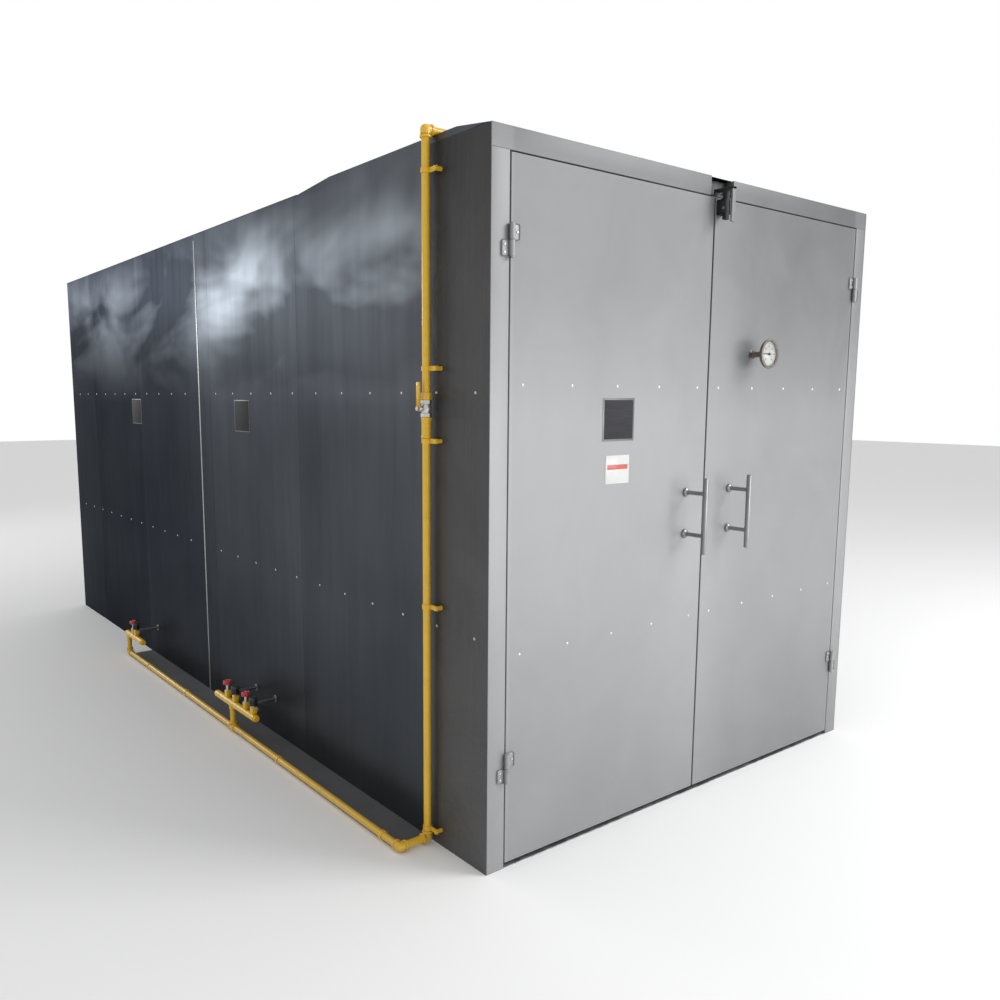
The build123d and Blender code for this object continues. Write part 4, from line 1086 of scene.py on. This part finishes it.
settle(joined([bulge, bonnet] + hexes), "ball_valve", "oven_body", ["ball_valve_body"],
       nickel_finish)
settle(stem_nut, "ball_valve_nut", "ball_valve_lever", material=nickel_finish)
lever_grip_from = valve_place.z + 0.030
blade = plate(lever_low, lever_high, 0, 0.0060, 0.0008)
sleeve = bar((lever_low.x - 0.0012, lever_low.y - 0.0008, lever_grip_from),
             (lever_high.x + 0.0008, lever_high.y + 0.0008, lever_high.z), 0.0019, 3)
settle(joined([blade, sleeve]), "ball_valve_handle", "ball_valve_lever", ["ball_valve_lever"],
       yellow_finish)

# ---- Burner stations ----
# Each header carries valve blocks painted yellow, with nickel stems and outlets. Some have a
# fluted red knob, and the others the ribbed black cap of a regulator.

blocks = []
for low, high in solids_of("burner_valves"):
    x, y = (low.x + high.x) / 2, (low.y + high.y) / 2
    block_tall = 0.034
    block = plate((low.x, low.y, low.z), (high.x, high.y, low.z + block_tall), 2, 0.005, 0.0012)
    top = high.z - low.z
    neck = [(0.0105, block_tall - 0.001), (0.0105, block_tall + 0.003), (0.0082, block_tall + 0.004)]
    if top > 0.05:
        neck += [(0.0080, top - 0.016), (0.0048, top - 0.015), (0.0048, top)]
    else:
        neck += [(0.0080, top)]
    stack = turned(neck, (x, y, low.z), sides=24)
    outlet = turned([(0.0095, 0.011), (0.0112, 0.0122), (0.0112, 0.020), (0.0095, 0.0212)],
                    (x, y, low.z + 0.017), "X", 6)
    blocks += [paint_piece(block, yellow_finish), paint_piece(stack, nickel_finish),
               paint_piece(outlet, nickel_finish)]
settle(joined(blocks), "burner_valve_blocks", "oven_body", ["burner_valves"])

red = Finish("red_plastic", coat=0.4)
red_mottle = red.noise(60.0, 4.0, 0.6)
red_finish = red.paint(red.blend(red_mottle, (0.40, 0.018, 0.022), (0.62, 0.05, 0.055)),
                       red_mottle * 0.15 + 0.25, red_mottle, 0.0002)
black = Finish("black_plastic", coat=0.15)
black_mottle = black.noise(260.0, 3.0, 0.6)
black_dust = black.noise(30.0, 4.0, 0.65)
black_finish = black.paint(black.blend(black_dust, (0.008, 0.008, 0.009), (0.045, 0.045, 0.047)),
                           black_mottle * 0.2 + 0.3, black_mottle, 0.0003)


def scalloped(piece, place, radius, cuts, cut_radius, low_z, high_z):
    """Upright grooves cut round a turned piece."""
    for step in range(cuts):
        angle = math.tau * (step + 0.5) / cuts
        groove = turned([(cut_radius, low_z), (cut_radius, high_z)],
                        place + Vector((math.cos(angle) * radius, math.sin(angle) * radius, 0)), sides=16)
        finish_mesh(piece, ("BOOLEAN", {"operation": "DIFFERENCE", "object": groove, "solver": "EXACT"}))
        bpy.data.objects.remove(groove)
    return piece


for count in (1, 2, 3):
    name = f"burner_knob_{count}"
    low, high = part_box(name)
    x, y = (low.x + high.x) / 2, (low.y + high.y) / 2
    foot = Vector((x, y, low.z))
    tall = high.z - low.z
    body = turned([(0.0190, 0), (0.0210, 0.0012), (0.0214, 0.004), (0.0212, 0.012), (0.0200, 0.0165),
                   (0.0165, tall - 0.001), (0.0120, tall - 0.0002), (0.0110, tall - 0.0012),
                   (0.0020, tall - 0.0014)], foot, sides=48)
    scalloped(body, foot, 0.0245, 8, 0.0055, -0.001, tall + 0.001)
    smooth(body)
    white_line = bar((x - 0.0012, y, high.z - 0.0014), (x + 0.0012, y + 0.0100, high.z), 0.0003, 2)
    index = paint_piece(white_line, face_finish)
    paint_piece(body, red_finish)
    settle(joined([body, index]), f"red_knob_{count}", name, [name])

caps = []
for low, high in solids_of("burner_regulators"):
    x, y = (low.x + high.x) / 2, (low.y + high.y) / 2
    tall = high.z - low.z
    rings = [(0.0150, 0), (0.0195, 0.001), (0.0195, 0.006)]
    for step in range(5):
        start = 0.007 + step * 0.0045
        rings += [(0.0178, start), (0.0178, start + 0.0012), (0.0195, start + 0.0018),
                  (0.0195, start + 0.0036)]
    rings += [(0.0185, tall - 0.006), (0.0160, tall - 0.002), (0.0110, tall - 0.0004), (0.0070, tall),
              (0.0060, tall - 0.002)]
    caps.append(turned(rings, (x, y, low.z), sides=40))
settle(joined(caps), "regulator_caps", "oven_body", ["burner_regulators"], black_finish)

# ---- Circulation fan ----
# A flange motor with a finned body and a dished cowl sits on a plate on the roof, and turns
# a sheet-steel wheel under the ceiling.

dress("fan_wheel", zinc_finish)
motor_low, motor_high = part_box("fan_motor")
fan_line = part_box("fan_shaft")
fan_x, fan_y = (fan_line[0].x + fan_line[1].x) / 2, (fan_line[0].y + fan_line[1].y) / 2
plate_top = motor_low.z + 0.005
plate_half = 0.21
motor_grey = Finish("motor_paint", coat=0.2)
motor_speck = motor_grey.noise(90.0, 4.0, 0.65)
motor_dust = motor_grey.noise(9.0, 4.0, 0.6)
motor_finish = motor_grey.paint(motor_grey.blend(motor_dust, (0.055, 0.075, 0.095), (0.11, 0.13, 0.15)),
                                motor_speck * 0.2 + 0.35, motor_speck, 0.0004)
base_low = (motor_low.x, fan_y - plate_half, motor_low.z)
base_high = (fan_x + plate_half, fan_y + plate_half, plate_top)
base = plate(base_low, base_high, 2, 0.02, 0.001)
settle(base, "fan_base_plate", "oven_body", ["fan_motor"], zinc_finish)
tall = motor_high.z - plate_top
body_radius = 0.078
motor_body = turned([(0.105, 0), (0.115, 0.002), (0.115, 0.012), (0.112, 0.014), (0.085, 0.016),
                     (body_radius, 0.022), (body_radius, tall - 0.052), (0.088, tall - 0.050),
                     (0.090, tall - 0.046), (0.090, tall - 0.014), (0.086, tall - 0.005),
                     (0.074, tall - 0.001), (0.050, tall), (0.046, tall - 0.003), (0.020, tall - 0.003)],
                    (fan_x, fan_y, plate_top), sides=64)
fins = [motor_body]
fin_count = 28
for step in range(fin_count):
    fin = bar((body_radius - 0.004, -0.0014, 0.024), (0.0895, 0.0014, tall - 0.051), 0.0006, 2)
    fin_turn = Matrix.Rotation(math.tau * step / fin_count, 4, "Z")
    fin.matrix_world = Matrix.Translation((fan_x, fan_y, plate_top)) @ fin_turn
    fins.append(apply_place(fin))
box_low = Vector((fan_x + 0.078, fan_y - 0.040, plate_top + 0.064))
box_high = Vector((motor_high.x if motor_high.x < 0.2 else fan_x + 0.135, fan_y + 0.040, plate_top + 0.144))
fins.append(bar(box_low, box_high, 0.005, 3))
gland_place = Vector(((box_low.x + box_high.x) / 2 + 0.01, fan_y - 0.040, box_low.z + 0.04))
fins.append(turned([(0.011, 0), (0.011, -0.006), (0.009, -0.007), (0.009, -0.016), (0.006, -0.018)],
                   gland_place, "Y", 6))
settle(joined(fins), "fan_motor_body", "oven_body", ["fan_motor"], motor_finish)
bolt_reach = 0.19
bolt_circle = 0.101
corner_bolts = [(Vector((fan_x + sx * bolt_reach, fan_y + sy * bolt_reach, plate_top)), (0, 0, 1))
                for sx in (-1, 1) for sy in (-1, 1)]
quarter_turns = (math.pi / 4, 3 * math.pi / 4, 5 * math.pi / 4, 7 * math.pi / 4)
corner_bolts += [(Vector((fan_x + math.cos(angle) * bolt_circle, fan_y + math.sin(angle) * bolt_circle,
                          plate_top + 0.014)), (0, 0, 1)) for angle in quarter_turns]
bolt = turned([(0.009, -0.001), (0.009, 0.001), (0.0072, 0.0012), (0.0072, 0.0055), (0.0062, 0.0066),
               (0.0030, 0.0068)], (0, 0, 0), sides=6)
settle(set_out(bolt, corner_bolts), "fan_bolts", "oven_body", material=fastener_finish)

# ---- Exhaust spigot ----
# A rolled sheet tube with a flange on the roof takes the exhaust. Its mouth has a bead that a
# chimney pipe slips over.

low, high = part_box("flue_spigot")
flue_x, flue_y = (low.x + high.x) / 2, (low.y + high.y) / 2
roof_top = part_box("roof_sheets")[1].z
tube = 0.075
bore = 0.073
up_to = high.z - low.z
seat = roof_top - low.z
spigot = turned([(bore, 0), (tube, 0), (tube, seat), (0.105, seat), (0.105, seat + 0.003),
                 (0.104, seat + 0.004), (tube + 0.001, seat + 0.004), (tube, seat + 0.006),
                 (tube, up_to - 0.034), (tube + 0.0022, up_to - 0.031), (tube + 0.0030, up_to - 0.028),
                 (tube + 0.0022, up_to - 0.025), (tube, up_to - 0.022), (tube, up_to), (bore, up_to)],
                (flue_x, flue_y, low.z), sides=72)
pick(spigot)
bpy.ops.object.mode_set(mode="EDIT")
bpy.ops.mesh.select_mode(type="FACE")
bpy.ops.mesh.select_all(action="DESELECT")
bpy.ops.object.mode_set(mode="OBJECT")
for face in spigot.data.polygons:
    face.select = len(face.vertices) > 10
bpy.ops.object.mode_set(mode="EDIT")
bpy.ops.mesh.bridge_edge_loops()
bpy.ops.mesh.select_all(action="SELECT")
bpy.ops.mesh.normals_make_consistent(inside=False)
bpy.ops.object.mode_set(mode="OBJECT")
smooth(spigot)
settle(spigot, "exhaust_spigot", "oven_body", ["flue_spigot"], zinc_finish)
flange_turns = [math.tau * (step + 0.5) / 6 for step in range(6)]
flange_bolts = [(Vector((flue_x + math.cos(angle) * 0.090, flue_y + math.sin(angle) * 0.090,
                         roof_top + 0.004)), (0, 0, 1)) for angle in flange_turns]
settle(set_out(rivet_head(), flange_bolts), "flange_rivets", "oven_body",
       material=fastener_finish)

# ---- Floor and studio ----
# The oven stands on a plain pale floor. Soft lights in front of the doors, over the floor and
# at the left, with an even pale surround, light it.

bpy.context.scene.view_settings.view_transform = "Standard"
stage_size = 60.0
clear()
bpy.ops.mesh.primitive_plane_add(size=stage_size, location=(0, 0, 0))
stage_floor = bpy.context.object
stage_floor.name = "studio_floor"
pale = Finish("studio_floor")
stage_floor.data.materials.append(pale.paint((0.93, 0.93, 0.93), 0.8))

world = bpy.data.worlds.new("studio")
bpy.context.scene.world = world
world.use_nodes = True
sky = world.node_tree.nodes["Background"]
sky.inputs["Color"].default_value = (1.0, 1.0, 1.0, 1.0)
sky_seen = 1.0
sky_light = 0.7
seen = world.node_tree.nodes.new("ShaderNodeLightPath")
share = world.node_tree.nodes.new("ShaderNodeMapRange")
share.inputs["To Min"].default_value = sky_light
share.inputs["To Max"].default_value = sky_seen
world.node_tree.links.new(seen.outputs["Is Camera Ray"], share.inputs["Value"])
world.node_tree.links.new(share.outputs["Result"], sky.inputs["Strength"])


def soft_light(name, place, aim, width, height, power):
    light = bpy.data.lights.new(name, "AREA")
    light.shape = "RECTANGLE"
    light.size = width
    light.size_y = height
    light.energy = power
    holder = bpy.data.objects.new(name, light)
    bpy.context.scene.collection.objects.link(holder)
    holder.location = place
    holder.rotation_euler = (Vector(aim) - Vector(place)).to_track_quat("-Z", "Y").to_euler()


soft_light("front_light", (2.5, -9.5, 1.4), (0.3, -2.4, 0.3), 7.0, 2.2, 260.0)
soft_light("floor_light", (3.6, -6.4, 5.0), (2.0, -4.4, 0.0), 3.0, 3.0, 260.0)
soft_light("left_window", (-4.3, 7.6, 3.15), (-1.1, -0.4, 1.9), 3.6, 1.0, 80.0)

# ---- Camera ----
# It stands off the front left corner at head height, and looks across the left wall and both
# doors. Its place is measured from the foot of the collar's front left corner.

front_left = Vector((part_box("collar_sheets")[0].x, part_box("collar_sheets")[0].y, 0.0))
eye = front_left + Vector((-1.746, -2.134, 1.585))
heading = 0.6584
dip = -0.1397
tilt = -0.0031
camera_data = bpy.data.cameras.new("camera")
camera = bpy.data.objects.new("camera", camera_data)
bpy.context.scene.collection.objects.link(camera)
camera.location = eye
turn = Matrix.Rotation(-heading, 4, "Z") @ Matrix.Rotation(math.pi / 2 + dip, 4,
                                                           "X") @ Matrix.Rotation(-tilt, 4, "Z")
camera.rotation_euler = turn.to_euler()
camera_data.lens = 31.74
camera_data.sensor_width = 36.0
camera_data.shift_x = 0.0352
camera_data.shift_y = 0.0215
camera_data.clip_end = 200.0
bpy.context.scene.camera = camera
